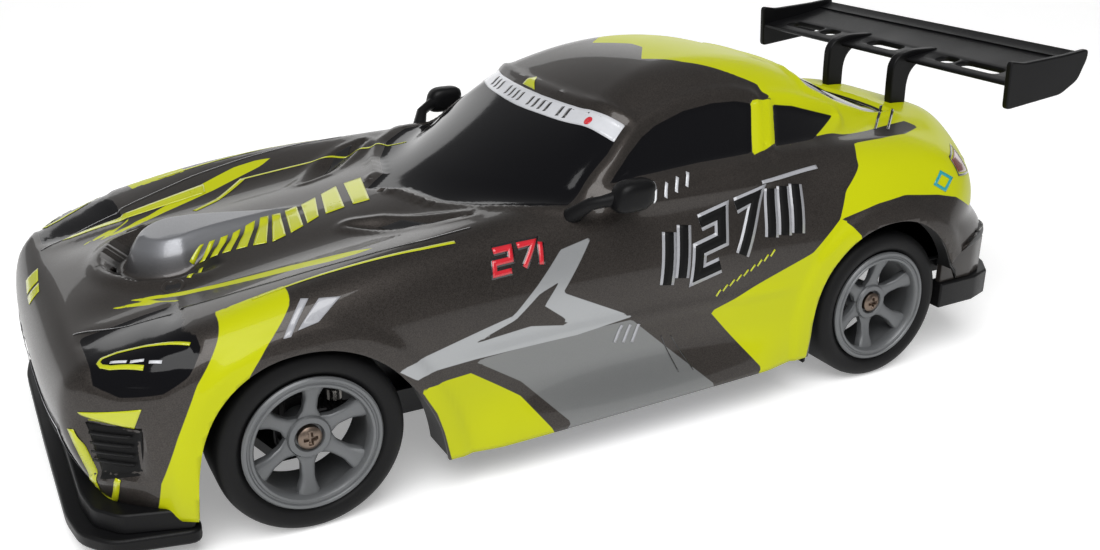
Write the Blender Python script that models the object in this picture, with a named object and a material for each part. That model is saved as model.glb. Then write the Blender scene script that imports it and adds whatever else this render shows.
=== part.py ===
"""Electric drift car, about 1:16: thin painted shell over a shaft-driven four-wheel chassis.

Frame: +X forward, +Y to the car's left, +Z up, ground at z = 0, origin under the middle of the car.
Sizes below are in millimetres; MM turns them into metres where a mesh is made.
"""
import math

import bmesh
import bpy
import numpy as np
from mathutils import Matrix, Vector

MM = 0.001

# Driving dimensions, in millimetres
GAP = 0.3                      # clearance that touching pieces keep
WHEEL_SIDES = 40               # facets round a tyre, one of them flat on the ground
AXLE_Z = 22.0
TYRE_R = AXLE_Z / math.cos(math.pi / WHEEL_SIDES)
FRONT_X, REAR_X = 95.5, -72.5  # axles: wheelbase 168
FRONT_WHEEL_Y, REAR_WHEEL_Y = 52.8, 51.5
TYRE_HALF = 8.5
RIM_R = 15.9
SHELL_WALL = 1.2
SHELL_SILL = 10.0
SHAFT_Z = 19.0
DECK_TOP = 7.0                 # upper face of the chassis floor
ARM_PIVOT_Y, ARM_PIVOT_Z = 20.0, 11.0
HUB_PIVOT_Y = 41.0
KINGPIN_Y = 46.0
SHOCK_TOP_Y, SHOCK_TOP_Z = 23.0, 42.0
SHOCK_FOOT_Y, SHOCK_FOOT_Z = 34.0, 16.5
SHOCK_OFFSET = 5.5             # shocks stand this far outside the axle line, towards the bumpers
LINK_X, LINK_Z = 84.0, 22.7

# The shell's guiding curves: (x, value) knots, nose to the right
CENTRE_LINE = [(-132, 62), (-124, 65.5), (-110, 67.5), (-90, 68.5), (-60, 68), (-20, 66), (20, 63.5),
               (45, 61.5), (69, 58.3), (92, 55), (115, 51.2), (130, 48.5), (141, 44.5), (150, 38)]
FENDER_LINE = [(-130, 55), (-118, 59), (-105, 62.5), (-90, 66), (-72.5, 67.5), (-50, 67.5), (-20, 66),
               (20, 63.8), (44, 62.5), (60, 61.2), (76, 59.5), (95, 56.6), (112, 53), (125, 50),
               (138, 46), (150, 40)]
HALF_WIDTH = [(-132, 56), (-118, 59), (-100, 62), (-72.5, 63), (-48, 60.3), (-15, 58.2), (25, 57.8),
              (50, 59.5), (70, 61.8), (95.5, 63), (112, 62.4), (125, 60.5), (137, 56), (148, 50)]
ROOF_LINE = [(-150, 20), (-125, 58), (-112, 66), (-100, 69), (-87, 73.5), (-70, 81), (-55, 86.3),
             (-40, 89), (-25, 89.4), (-12, 87.6), (0.5, 83.5), (13, 77.5), (30, 69.5), (46, 61.8),
             (54, 57.5), (66, 50), (90, 20)]
GLASS_BASE = [(-118, 24), (-100, 29), (-80, 37), (-60, 45), (-40, 49.5), (-10, 50.3), (15, 49), (30, 46),
              (60, 40)]
SKIRT_LINE = [(-132, 35), (-99, 35), (-96, 33), (-90, 14), (-86, 12.6), (-50, 12), (0, 10.5), (60, 9.2),
              (110, 9.5), (150, 10)]


def clear_scene():
    for old in list(bpy.data.objects):
        bpy.data.objects.remove(old, do_unlink=True)


def material(name, colour, roughness, metallic=0.0):
    made = bpy.data.materials.new(name)
    made.use_nodes = True
    shader = made.node_tree.nodes["Principled BSDF"]
    shader.inputs["Base Color"].default_value = (*colour, 1.0)
    shader.inputs["Roughness"].default_value = roughness
    shader.inputs["Metallic"].default_value = metallic
    return made


def place(name, mesh, finish, pivot=(0, 0, 0)):
    """Put a mesh given in millimetres into the scene, with its origin on pivot."""
    mesh.transform(Matrix.Translation(-Vector(pivot)))
    mesh.transform(Matrix.Scale(MM, 4))
    made = bpy.data.objects.new(name, mesh)
    made.location = Vector(pivot) * MM
    made.data.materials.append(material(name, *finish))
    bpy.context.collection.objects.link(made)
    return made


def mesh_from(bm):
    bmesh.ops.recalc_face_normals(bm, faces=bm.faces)
    mesh = bpy.data.meshes.new("piece")
    bm.to_mesh(mesh)
    bm.free()
    return mesh


def block(low, high, soften=0.0):
    """A box between two corners, its edges cut back by soften."""
    bm = bmesh.new()
    bmesh.ops.create_cube(bm, size=1.0)
    for corner in bm.verts:
        corner.co = Vector(low[i] if corner.co[i] < 0 else high[i] for i in range(3))
    if soften:
        bmesh.ops.bevel(bm, geom=list(bm.edges), offset=soften, segments=1, affect="EDGES")
    return mesh_from(bm)


def plate(outline, axis, low, high):
    """An outline swept from low to high along x, y or z; it lists the other two coordinates."""
    def corner(a, b, depth):
        values = [a, b]
        values.insert("xyz".index(axis), depth)
        return values

    bm = bmesh.new()
    face = bm.faces.new([bm.verts.new(corner(a, b, low)) for a, b in outline])
    swept = bmesh.ops.extrude_face_region(bm, geom=[face])
    moved = [item for item in swept["geom"] if isinstance(item, bmesh.types.BMVert)]
    shift = [0, 0, 0]
    shift["xyz".index(axis)] = high - low
    bmesh.ops.translate(bm, verts=moved, vec=shift)
    bmesh.ops.triangulate(bm, faces=[f for f in bm.faces if len(f.verts) > 4])
    return mesh_from(bm)


def turned(profile, start, end, sides):
    """A closed (radius, distance) profile turned round the line that runs from start towards end."""
    bm = bmesh.new()
    ring = [bm.verts.new((radius, 0, along)) for radius, along in profile]
    edges = [bm.edges.new((ring[i], ring[(i + 1) % len(ring)])) for i in range(len(ring))]
    bmesh.ops.spin(bm, geom=ring + edges, cent=(0, 0, 0), axis=(0, 0, 1), angle=2 * math.pi,
                   steps=sides, use_merge=True)
    bmesh.ops.remove_doubles(bm, verts=bm.verts, dist=0.001)
    flat = [edge for edge in bm.edges if not edge.link_faces]
    bmesh.ops.delete(bm, geom=flat, context="EDGES")
    mesh = mesh_from(bm)
    line = (Vector(end) - Vector(start)).normalized()
    turn = line.to_track_quat("Z", "Y").to_matrix().to_4x4()
    half_facet = Matrix.Rotation(math.pi / sides, 4, "Z")
    mesh.transform(Matrix.Translation(start) @ turn @ half_facet)
    return smooth(mesh)


def rod(start, end, radius, sides=16):
    """A solid round bar from start to end."""
    length = (Vector(end) - Vector(start)).length
    bm = bmesh.new()
    bmesh.ops.create_cone(bm, cap_ends=True, segments=sides, radius1=radius, radius2=radius, depth=length)
    mesh = mesh_from(bm)
    line = (Vector(end) - Vector(start)).normalized()
    turn = line.to_track_quat("Z", "Y").to_matrix().to_4x4()
    middle = (Vector(start) + Vector(end)) / 2
    mesh.transform(Matrix.Translation(middle) @ turn)
    return smooth(mesh)


def smooth(mesh):
    mesh.shade_smooth()
    mesh.set_sharp_from_angle(angle=math.radians(35))
    return mesh


def fuse(name, meshes, finish, pivot=(0, 0, 0), cut=()):
    """Join overlapping solids into one body by Boolean unions, then take the cut solids away."""
    body = place(name, meshes[0], finish, pivot)
    for operation, tools in (("UNION", meshes[1:]), ("DIFFERENCE", cut)):
        for number, tool in enumerate(tools):
            helper = place(f"{name}_{operation.lower()}_{number}", tool, finish)
            helper.hide_render = True
            helper.display_type = "WIRE"
            step = body.modifiers.new(f"{operation} {number}", "BOOLEAN")
            step.operation = operation
            step.object = helper
            step.solver = "EXACT"
    return body


# Curves and smooth blends that shape the shell

def through(x, knots):
    """Smooth curve through (x, value) knots, with end slopes taken from the neighbouring knots."""
    table = np.array(knots, float)
    at, value = table[:, 0], table[:, 1]
    step = np.diff(at)
    rise = np.diff(value) / step
    inner = (rise[:-1] * step[1:] + rise[1:] * step[:-1]) / (step[1:] + step[:-1])
    slope = np.concatenate([[rise[0]], inner, [rise[-1]]])
    x = np.clip(x, at[0], at[-1])
    i = np.clip(np.searchsorted(at, x) - 1, 0, len(step) - 1)
    t = (x - at[i]) / step[i]
    return ((1 + 2 * t) * (1 - t) ** 2 * value[i] + t * (1 - t) ** 2 * step[i] * slope[i]
            + t * t * (3 - 2 * t) * value[i + 1] + t * t * (t - 1) * step[i] * slope[i + 1])


def ramp(value, start, end):
    t = np.clip((value - start) / (end - start), 0, 1)
    return t * t * (3 - 2 * t)


def round_max(a, b, radius):
    """The larger of two fields, with their crossing rounded off."""
    near = np.maximum(radius - np.abs(a - b), 0) / radius
    return np.maximum(a, b) + near * near * radius / 4


def top_height(x, side):
    """Height of bonnet and rear deck: the centre line, lifted to the fender crests, with a scoop."""
    centre, crest = through(x, CENTRE_LINE), through(x, FENDER_LINE)
    height = centre + (crest - centre) * np.exp(-((side - 53) / 15) ** 2)
    valley = 1.6 * ramp(x, 35, 60) * (1 - ramp(x, 128, 142)) * np.exp(-((side - 27) / 11) ** 2)
    scoop = 4.2 * np.exp(-(side / 13) ** 4) * ramp(-x, -131, -119) * ramp(x, 98, 112)
    return height - valley + scoop


def flank(x, z):
    """Half width at a height: it leans in above the wheels and flares out to the sills."""
    wide = through(x, HALF_WIDTH)
    door = ramp(x, -48, -30) * (1 - ramp(x, 48, 66))
    lean = 0.016 * np.maximum(z - 40, 0) ** 2 + 0.002 * np.maximum(30 - z, 0) ** 2
    return wide - lean + door * ramp(-z, -26, -9) * (62.6 - wide)


def nose(side, z):
    forward = 147.3 - 1.15e-5 * side ** 3.2 - 9 * ramp(side, 44, 62)
    return forward - 0.012 * np.maximum(26 - z, 0) ** 1.9 - 0.05 * np.maximum(z - 40, 0) ** 1.5


def tail(side, z):
    back = -130 + 1.25e-4 * side ** 3
    return back + 0.031 * np.maximum(z - 46, 0) ** 2 + 0.02 * np.maximum(30 - z, 0)


def cabin(x, side, z):
    """Roof, pillars and glass: below zero inside."""
    rise = np.clip((z - 62) / 18, 0, 1)
    wrap = 0.0118 * (1 - rise) * side * side * ramp(x, -30, 10)
    roof = z - (through(x + wrap, ROOF_LINE) - 4 * rise * (side / 33) ** 2)
    glass = (side - through(x, GLASS_BASE) + 1.0 * np.maximum(z - 66, -3)) / 1.5
    ends = np.maximum(x - 72, -122 - x)
    return np.maximum(round_max(roof, glass, 6), ends)


def shell_field(x, y, z):
    """Below zero inside the shell's outer surface, above zero outside it."""
    side = np.abs(y)
    low = round_max(z - top_height(x, side), side - flank(x, z), 11)
    low = round_max(low, x - nose(side, z), 10)
    low = round_max(low, tail(side, z) - x, 9)
    return -round_max(-low, -cabin(x, side, z), 2)


def shell_surface(columns, fan_rows, low_rows, top_of_low=36.0, foot=SKIRT_LINE):
    """Half of the outer surface as a grid: rays shot from a spine find where the field turns positive.

    columns holds each ray plane's spine position and its turn from sideways towards the nose; rows go
    from straight up round to level, then down to the foot line.
    """
    spine, turn = columns[:, :1], np.radians(columns[:, 1:])
    rise = np.radians(np.linspace(90, 0, fan_rows + 1))[None, :]
    aim = [np.sin(turn) * np.cos(rise), np.cos(turn) * np.cos(rise), np.sin(rise) + 0 * turn]
    fan = shoot(spine + 0 * rise, top_of_low + 0 * aim[2], aim)
    if not low_rows:
        return fan
    foot_z = through(fan[:, -1:, 0], foot)
    step = (np.arange(low_rows) + 1)[None, :] / low_rows
    height = top_of_low + (foot_z - top_of_low) * step
    level = [np.sin(turn) + 0 * height, np.cos(turn) + 0 * height, 0 * height]
    return np.concatenate([fan, shoot(spine + 0 * height, height, level)], axis=1)


def shoot(spine, height, aim):
    near, far = np.zeros_like(height), np.full_like(height, 120.0)
    for _ in range(26):
        middle = (near + far) / 2
        inside = shell_field(spine + middle * aim[0], middle * aim[1], height + middle * aim[2]) < 0
        near, far = np.where(inside, middle, near), np.where(inside, far, middle)
    return np.stack([spine + near * aim[0], near * aim[1], height + near * aim[2]], axis=-1)


def ray_columns(rear, middle, front):
    """Spine stations: turning round the tail, straight along the flank, turning round the nose."""
    tail_part = [(-108 + 22 * i / rear, -90 + 90 * i / rear) for i in range(rear)]
    side_part = [(-86 + 170 * i / (middle - 1), 0) for i in range(middle)]
    nose_part = [(84 + 42 * i / front, 90 * i / front) for i in range(1, front + 1)]
    return np.array(tail_part + side_part + nose_part, float)


def sheet(grid):
    """A half grid, mirrored and closed along the centre plane, as one open surface facing outward."""
    other = grid[:, ::-1] * (1, -1, 1)
    whole = np.concatenate([other, grid], axis=1)
    rows, across = whole.shape[:2]
    bm = bmesh.new()
    points = [[bm.verts.new(point) for point in row] for row in whole.tolist()]
    for i in range(rows - 1):
        for j in range(across - 1):
            bm.faces.new((points[i][j], points[i + 1][j], points[i + 1][j + 1], points[i][j + 1]))
    bmesh.ops.remove_doubles(bm, verts=bm.verts, dist=0.02)
    bmesh.ops.dissolve_degenerate(bm, dist=0.01, edges=bm.edges)
    bmesh.ops.recalc_face_normals(bm, faces=bm.faces)
    if sum(face.normal.z * face.calc_area() for face in bm.faces) < 0:
        bmesh.ops.reverse_faces(bm, faces=bm.faces)
    mesh = bpy.data.meshes.new("sheet")
    bm.to_mesh(mesh)
    bm.free()
    return mesh


def thicken(piece, wall):
    step = piece.modifiers.new("Wall", "SOLIDIFY")
    step.thickness = wall * MM
    step.offset = -1.0
    return step


def arch_outline(axle, top, ahead, behind):
    """Wheel opening seen from the side: a round crown on straight legs that spread to the floor."""
    crown = [(axle + 22.8 * math.cos(a), top - 23 + 23 * math.sin(a))
             for a in np.radians(np.linspace(18, 158, 15))]
    return [(axle + ahead, 2)] + crown + [(axle - behind, 2)]


PAINT = ((0.045, 0.040, 0.037), 0.3, 0.6)
BLACK = ((0.012, 0.012, 0.013), 0.5)
NYLON = ((0.02, 0.02, 0.022), 0.6)
ALLOY = ((0.55, 0.56, 0.58), 0.35, 1.0)
STEEL = ((0.45, 0.43, 0.40), 0.3, 1.0)
GREY_WHEEL = ((0.20, 0.20, 0.21), 0.45, 0.4)
TYRE = ((0.010, 0.010, 0.010), 0.8)
BLUE = ((0.05, 0.16, 0.45), 0.45)
FOAM = ((0.03, 0.03, 0.03), 0.95)


def make_shell():
    body = place("body_shell", sheet(shell_surface(ray_columns(8, 23, 8), 13, 5)), PAINT)
    thicken(body, SHELL_WALL)
    openings = (("front", arch_outline(FRONT_X, 45.3, 25, 33)), ("rear", arch_outline(REAR_X, 48.0, 28, 30)))
    for label, outline in openings:
        for side in (1, -1):
            reach = sorted((side * 38.0, side * 70.0))
            cutter = place(f"arch_cutter_{label}_{side}", plate(outline, "y", *reach), PAINT)
            cutter.hide_render = True
            cutter.display_type = "WIRE"
            step = body.modifiers.new(f"Arch {label} {side}", "BOOLEAN")
            step.operation = "DIFFERENCE"
            step.object = cutter
            step.solver = "EXACT"


def make_trim():
    """Splitter, rear diffuser, wing and mirrors: unpainted black mouldings on the shell."""
    half = [(147.5, 0), (147.2, 44), (145.5, 51), (141, 56), (121, 60.5), (120.5, 54), (128, 48), (139, 42),
            (140, 0)]
    outline = half + [(x, -y) for x, y in reversed(half[1:-1])]
    place("front_splitter", plate(outline, "z", 4.0, 9.0), BLACK)

    turns = ray_columns(14, 2, 2)[:13]
    band = shell_surface(turns, 1, 3, top_of_low=34.0, foot=[(-135, 13), (-90, 13)])[:, 1:]
    diffuser = place("rear_diffuser", sheet_strip(band), BLACK)
    thicken(diffuser, 1.6)

    blade = [(-115.5, 80.2), (-118, 82.2), (-128, 84.6), (-139, 87.6), (-145.5, 89.6), (-146, 88.6),
             (-139, 85.6), (-128, 82.4), (-118, 79.8)]
    slots = [block((-125.5, y - 8.5, 75), (-121.5, y + 8.5, 95)) for y in (-38, -12.7, 12.7, 38)]
    fuse("wing_blade", [plate(blade, "y", -55.4, 55.4)], BLACK, cut=slots)
    end = [(-115.5, 74.0), (-114.5, 88.6), (-147.5, 89.0), (-146.3, 79.2), (-138, 76.5)]
    strut = [(-108.5, 68.6), (-119, 68.2), (-119.5, 78), (-121.5, 80.2), (-106, 77.5), (-108.4, 75)]
    for label, side in (("left", 1), ("right", -1)):
        face = sorted((side * 55.7, side * 57.7))
        place(f"wing_endplate_{label}", plate(end, "y", *face), BLACK)
        web = sorted((side * 13.6, side * 16.2))
        place(f"wing_strut_{label}", plate(strut, "y", *web), BLACK)
        cup = block((6.5, 54.5, 63.2), (17, 60.5, 70.5), 1.5)
        stalk = block((16, 52.6, 64.5), (22.5, 56.5, 67.0), 0.4)
        if side < 0:
            for mesh in (cup, stalk):
                mirror(mesh)
        fuse(f"mirror_{label}", [cup, stalk], BLACK)


def mirror(mesh):
    """Reflect a mesh to the other side of the car and keep its faces outward."""
    mesh.transform(Matrix.Scale(-1, 4, (0, 1, 0)))
    mesh.flip_normals()


def sheet_strip(band):
    """The band grid round the tail, both halves, as one open surface facing outward."""
    other = band[::-1] * (1, -1, 1)
    whole = np.concatenate([other[:-1], band], axis=0)
    bm = bmesh.new()
    points = [[bm.verts.new(point) for point in row] for row in whole.tolist()]
    for i in range(len(points) - 1):
        for j in range(len(points[0]) - 1):
            bm.faces.new((points[i][j], points[i + 1][j], points[i + 1][j + 1], points[i][j + 1]))
    bmesh.ops.remove_doubles(bm, verts=bm.verts, dist=0.02)
    if sum(face.normal.x * face.calc_area() for face in bm.faces) > 0:
        bmesh.ops.reverse_faces(bm, faces=bm.faces)
    mesh = bpy.data.meshes.new("strip")
    bm.to_mesh(mesh)
    bm.free()
    return mesh


def make_chassis():
    half = [(137, 0), (137, 15), (126, 18), (70, 18), (66, 27), (-44, 27), (-50, 18), (-106, 18), (-108, 0)]
    floor = half + [(x, -y) for x, y in reversed(half[1:-1])]
    rails = []
    for side in (1, -1):
        wall = sorted((side * 25.2, side * 27.0))
        rails.append(block((-43, wall[0], 5.5), (64, wall[1], 12)))
    fuse("chassis_tub", [plate(floor, "z", 5.0, DECK_TOP), *rails], NYLON)
    place("top_deck", block((-63, -5, 30), (86, 5, 31.5), 0.3), NYLON)

    base = DECK_TOP + GAP
    case = [(-12, base), (12, base), (12, 26), (27, 37), (27, 46), (-27, 46), (-27, 37), (-12, 26)]
    trunk = [(-12, base), (12, base), (12, 29.7), (-12, 29.7)]
    fuse("front_gearbox", [plate(trunk, "x", 87, 106), plate(case, "x", 105.4, 107.4)], NYLON)
    fuse("rear_gearbox", [plate(trunk, "x", -83, -64), plate(case, "x", -84.4, -82.4)], NYLON)

    place("battery_pack", block((-40, 10.0, base), (40, 24.8, 23.7), 1.2), BLUE)
    place("battery_strap", block((-5, 9.0, 24.0), (5, 25.0, 25.6), 0.3), NYLON)
    place("control_box", block((12, -24.5, base), (46, -6.0, 19.7), 0.8), BLACK)
    place("power_switch", block((50.5, -17.5, base), (56, -13.5, 10.5), 0.4), BLACK)
    place("steering_servo", block((56.5, 5.5, base), (79, 17.5, 18.9), 0.5), BLACK)
    place("drive_motor", rod((-27.4, -13.2, SHAFT_Z), (2.6, -13.2, SHAFT_Z), 10.0, 28), ALLOY)

    bumper = [(121, -34), (124, -38), (139, -38), (139, 38), (124, 38), (121, 34)]
    place("bumper_foam", plate(bumper, "z", base, 30), FOAM)
    place("body_post_front", plate(post_outline(47.6, 21.0, 25.4), "x", 113.6, 117.4), NYLON)
    place("body_post_rear", plate(post_outline(62.0, 18.0, 22.4), "x", -102.0, -98.2), NYLON)


def post_outline(top, inner, outer):
    """Two upright posts on one cross piece, seen from the front."""
    base = DECK_TOP + GAP
    right = [(0, base), (15, base), (15, 27), (outer, 32), (outer, top), (inner, top), (inner, 36), (0, 32)]
    return right + [(-y, z) for y, z in reversed(right[1:-1])]


def make_steering():
    horn = [(70.5, 8.5), (73.5, 7.2), (83, 8.6), (85.6, 10), (83, 11.4), (73.5, 12.8), (70.5, 11.5)]
    place("servo_horn", plate(horn, "z", 19.2, 21.0), BLACK, pivot=(74, 10, 20))
    place("steering_link", block((LINK_X - 1.6, -15.6, 21.6), (LINK_X + 1.6, 15.6, 23.8), 0.3), NYLON,
          pivot=(LINK_X, 0, LINK_Z))
    for label, side in (("left", 1), ("right", -1)):
        inner, outer = (LINK_X, side * 16.0, LINK_Z), (LINK_X, side * 39.5, LINK_Z)
        shaft = rod(inner, outer, 1.0, 12)
        eye = rod((LINK_X, side * 40.2, LINK_Z - 1.3), (LINK_X, side * 40.2, LINK_Z + 1.3), 1.9, 14)
        fuse(f"tie_rod_{label}", [shaft, eye], STEEL, pivot=inner)


def make_drivetrain():
    place("centre_shaft", rod((-63.6, 0, SHAFT_Z), (86.6, 0, SHAFT_Z), 1.2, 12), STEEL,
          pivot=(0, 0, SHAFT_Z))
    ring = [(1.6, -32), (9.4, -32), (9.4, -29), (1.6, -29)]
    place("spur_gear", turned([(r, x + 32) for r, x in ring], (-32, 0, SHAFT_Z), (0, 0, SHAFT_Z), 36), NYLON,
          pivot=(-30.5, 0, SHAFT_Z))
    place("motor_pinion", rod((-32, -13.2, SHAFT_Z), (-28, -13.2, SHAFT_Z), 3.4, 16), ALLOY,
          pivot=(-30, -13.2, SHAFT_Z))


def make_wheel(code, axle_x, wheel_y, side):
    """Tyre, six-spoke rim and its screw, turned about the axle line."""
    centre = (axle_x, side * wheel_y, AXLE_Z)
    outward = (axle_x, side * (wheel_y + 10), AXLE_Z)
    bead, wall = RIM_R + GAP, TYRE_HALF
    tread = [(bead, -7.0), (17.3, -7.1), (18.0, -wall), (19.6, -wall), (TYRE_R - 0.5, -7.2), (TYRE_R, -5.6),
             (TYRE_R, 5.6), (TYRE_R - 0.5, 7.2), (19.6, wall), (18.0, wall), (17.3, 7.1), (bead, 7.0)]
    place(f"tyre_{code}", turned(tread, centre, outward, WHEEL_SIDES), TYRE, pivot=centre)

    barrel = [(14.3, -8.2), (17.0, -8.2), (17.0, -7.4), (RIM_R, -7.3), (RIM_R, 7.3), (17.0, 7.4), (17.0, 8.2),
              (14.3, 8.2)]
    star = []
    for spoke in range(6):
        angle = math.radians(60 * spoke + 30)
        for radius, half in ((5.2, 2.1), (12.5, 1.6), (15.1, 2.2), (15.1, -2.2), (12.5, -1.6), (5.2, -2.1)):
            along, across = radius, -half
            star.append((along * math.cos(angle) - across * math.sin(angle) + axle_x,
                         along * math.sin(angle) + across * math.cos(angle) + AXLE_Z))
    face = sorted((side * (wheel_y + 1.7), side * (wheel_y + 4.5)))
    boss = [(1.8, -3.0), (4.4, -3.0), (4.4, 2.4), (1.8, 2.4)]
    fuse(f"rim_{code}", [turned(barrel, centre, outward, 30), plate(star, "y", *face),
                         turned(boss, centre, outward, 18)], GREY_WHEEL, pivot=centre)
    head = [(axle_x, side * (wheel_y + depth), AXLE_Z) for depth in (4.8, 6.0)]
    place(f"wheel_screw_{code}", rod(*head, 2.8, 18), STEEL, pivot=centre)


def make_corner(code, axle_x, side, front):
    """Lower arm, hub carrier (and steering knuckle in front) and shock absorber of one wheel."""
    end = 1 if front else -1

    def across(low, high, soften=0.0):
        ys = sorted((side * low[1], side * high[1]))
        return block((low[0], ys[0], low[2]), (high[0], ys[1], high[2]), soften)

    arm = [(axle_x - 10, side * 20.9), (axle_x + 10, side * 20.9), (axle_x + 4.5, side * 43),
           (axle_x - 4.5, side * 43)]
    place(f"lower_arm_{code}", plate(arm, "z", 9.0, 12.0), NYLON,
          pivot=(axle_x, side * ARM_PIVOT_Y, ARM_PIVOT_Z))
    hub_pivot = (axle_x, side * HUB_PIVOT_Y, 12.4)
    wall = across((axle_x - 4, 40.2, 13.0), (axle_x + 4, 42.2, 31.0))
    if front:
        lugs = [across((axle_x - 3.5, 41.5, z), (axle_x + 3.5, 48.6, z + 2.2)) for z in (13.0, 28.8)]
        fuse(f"hub_carrier_{code}", [wall, *lugs], NYLON, pivot=hub_pivot)
        core = across((axle_x - 3, 43.6, 15.6), (axle_x + 3, 48.4, 28.4), 0.4)
        lever_points = [(-2, 45), (-2, 47.5), (-9.5, 46.6), (-13.2, 43), (-13.2, 38.4), (-9.5, 38.4), (-9.5, 44.2)]
        arm_points = [(axle_x + ahead, side * out) for ahead, out in lever_points]
        lever = plate(arm_points, "z", 18.6, 20.8)
        stub = rod((axle_x, side * 48, AXLE_Z), (axle_x, side * 54.0, AXLE_Z), 1.4, 12)
        fuse(f"steering_knuckle_{code}", [core, lever, stub], NYLON, pivot=(axle_x, side * KINGPIN_Y, AXLE_Z))
    else:
        core = across((axle_x - 4, 41.0, 15.0), (axle_x + 4, 46.0, 29.0), 0.4)
        stub = rod((axle_x, side * 45, AXLE_Z), (axle_x, side * 52.8, AXLE_Z), 1.4, 12)
        fuse(f"hub_carrier_{code}", [wall, core, stub], NYLON, pivot=hub_pivot)

    shock_x = axle_x + end * SHOCK_OFFSET
    top = Vector((shock_x, side * SHOCK_TOP_Y, SHOCK_TOP_Z))
    foot = Vector((shock_x, side * SHOCK_FOOT_Y, SHOCK_FOOT_Z))
    length = (foot - top).length
    can = [(3.4, -2.2), (3.4, 16), (1.7, 16), (1.7, 4), (0.0, 4), (0.0, -2.2)]
    place(f"shock_body_{code}", turned(can, top, foot, 18), ALLOY, pivot=top)
    start = top + (foot - top) * (7.0 / length)
    place(f"shock_rod_{code}", rod(start, foot, 1.2, 12), STEEL, pivot=start)


clear_scene()
make_shell()
make_trim()
make_chassis()
make_steering()
make_drivetrain()
for wheel_code, wheel_x, wheel_side, is_front in (("front_left", FRONT_X, 1, True),
                                                  ("front_right", FRONT_X, -1, True),
                                                  ("rear_left", REAR_X, 1, False),
                                                  ("rear_right", REAR_X, -1, False)):
    make_wheel(wheel_code, wheel_x, FRONT_WHEEL_Y if is_front else REAR_WHEEL_Y, wheel_side)
    make_corner(wheel_code, wheel_x, wheel_side, is_front)
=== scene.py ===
# %% [markdown]
# # An electric drift car, about 1:16
# The real thing is a thin painted plastic shell over a shaft-driven chassis. The chassis, joints and
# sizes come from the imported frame. The lesson adds what makes it look real: a finely curved shell with
# its painted graphics, cast wheels, rubber, trim and running gear, each riding on the body it belongs to.

# %% The frame
import math
from functools import partial

import bmesh
import bpy
import numpy as np
from mathutils import Matrix, Vector


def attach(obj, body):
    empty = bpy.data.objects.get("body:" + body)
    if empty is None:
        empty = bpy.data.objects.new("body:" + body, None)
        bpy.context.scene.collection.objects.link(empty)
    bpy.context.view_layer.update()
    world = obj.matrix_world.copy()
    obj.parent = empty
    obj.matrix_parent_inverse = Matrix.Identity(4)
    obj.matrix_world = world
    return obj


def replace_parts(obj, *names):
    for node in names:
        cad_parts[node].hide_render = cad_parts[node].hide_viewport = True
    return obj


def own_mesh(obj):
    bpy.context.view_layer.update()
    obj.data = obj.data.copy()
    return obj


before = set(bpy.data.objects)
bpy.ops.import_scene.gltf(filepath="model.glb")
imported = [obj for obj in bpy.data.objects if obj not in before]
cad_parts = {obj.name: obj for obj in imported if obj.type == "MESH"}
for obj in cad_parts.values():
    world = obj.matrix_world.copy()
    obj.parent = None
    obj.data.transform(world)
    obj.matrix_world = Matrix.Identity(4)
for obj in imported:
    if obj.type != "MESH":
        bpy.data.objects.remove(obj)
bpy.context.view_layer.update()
MM = 0.001

# %% [markdown]
# ## Camera
# A model car is shown from a little above its front left corner. The camera is a 38 mm lens close to the
# car, which makes the near wheel look larger than the far one. Its axes are given as three unit vectors,
# which is exact and needs no aiming helper.

# %% Camera
camera = bpy.data.objects.new("camera", bpy.data.cameras.new("camera"))
camera_right, camera_up, camera_back = ((-0.88033, 0.47431, 0.00712), (-0.16878, -0.32722, 0.92975),
                                        (0.44332, 0.81728, 0.36812))
turn = Matrix((camera_right, camera_up, camera_back)).transposed().to_4x4()
camera.matrix_world = Matrix.Translation((0.15782, 0.28537, 0.15286)) @ turn
camera.data.lens = 38.05
camera.data.sensor_width = 36.0
camera.data.clip_start = 0.01
bpy.context.collection.objects.link(camera)
bpy.context.scene.camera = camera
print("camera at", [round(v, 3) for v in camera.location])

# %% [markdown]
# ## Light and floor
# Glossy dark paint shows what stands round it more than its own colour. A dim white room fills the
# shadows, a wide low soft box behind the car draws a bright horizon along bonnet and shoulders, and a
# second one on the near side lights the flank. The standard view keeps the acid yellow saturated.

# %% Light and floor
world = bpy.data.worlds.new("studio")
world.use_nodes = True
world.node_tree.nodes["Background"].inputs["Color"].default_value = (1.0, 1.0, 1.0, 1.0)
world.node_tree.nodes["Background"].inputs["Strength"].default_value = 0.22
bpy.context.scene.world = world
bpy.context.scene.view_settings.view_transform = "Standard"


def soft_box(name, place, aim, width, height, watts):
    """An area light at place, turned towards aim."""
    data = bpy.data.lights.new(name, "AREA")
    data.shape, data.size, data.size_y, data.energy = "RECTANGLE", width, height, watts
    lamp = bpy.data.objects.new(name, data)
    lamp.location = place
    lamp.rotation_euler = (Vector(aim) - Vector(place)).to_track_quat("-Z", "Y").to_euler()
    lamp.visible_camera = False
    bpy.context.collection.objects.link(lamp)


soft_box("overhead", (0.5, 0.8, 1.4), (0, 0, 0), 1.4, 1.4, 31.0)
soft_box("horizon", (-0.8, -1.5, 0.42), (0, 0, 0.1), 3.2, 0.8, 9.5)

# %% [markdown]
# ## Shader maths as arithmetic
# A material is a network of nodes, and wiring Math nodes by hand hides the formula. A small class wraps
# one socket and overloads the operators, so that a mask can be written as `1 - edge * 2`. Every other node
# comes from one method, which takes the node's type, its settings and its inputs.

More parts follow.
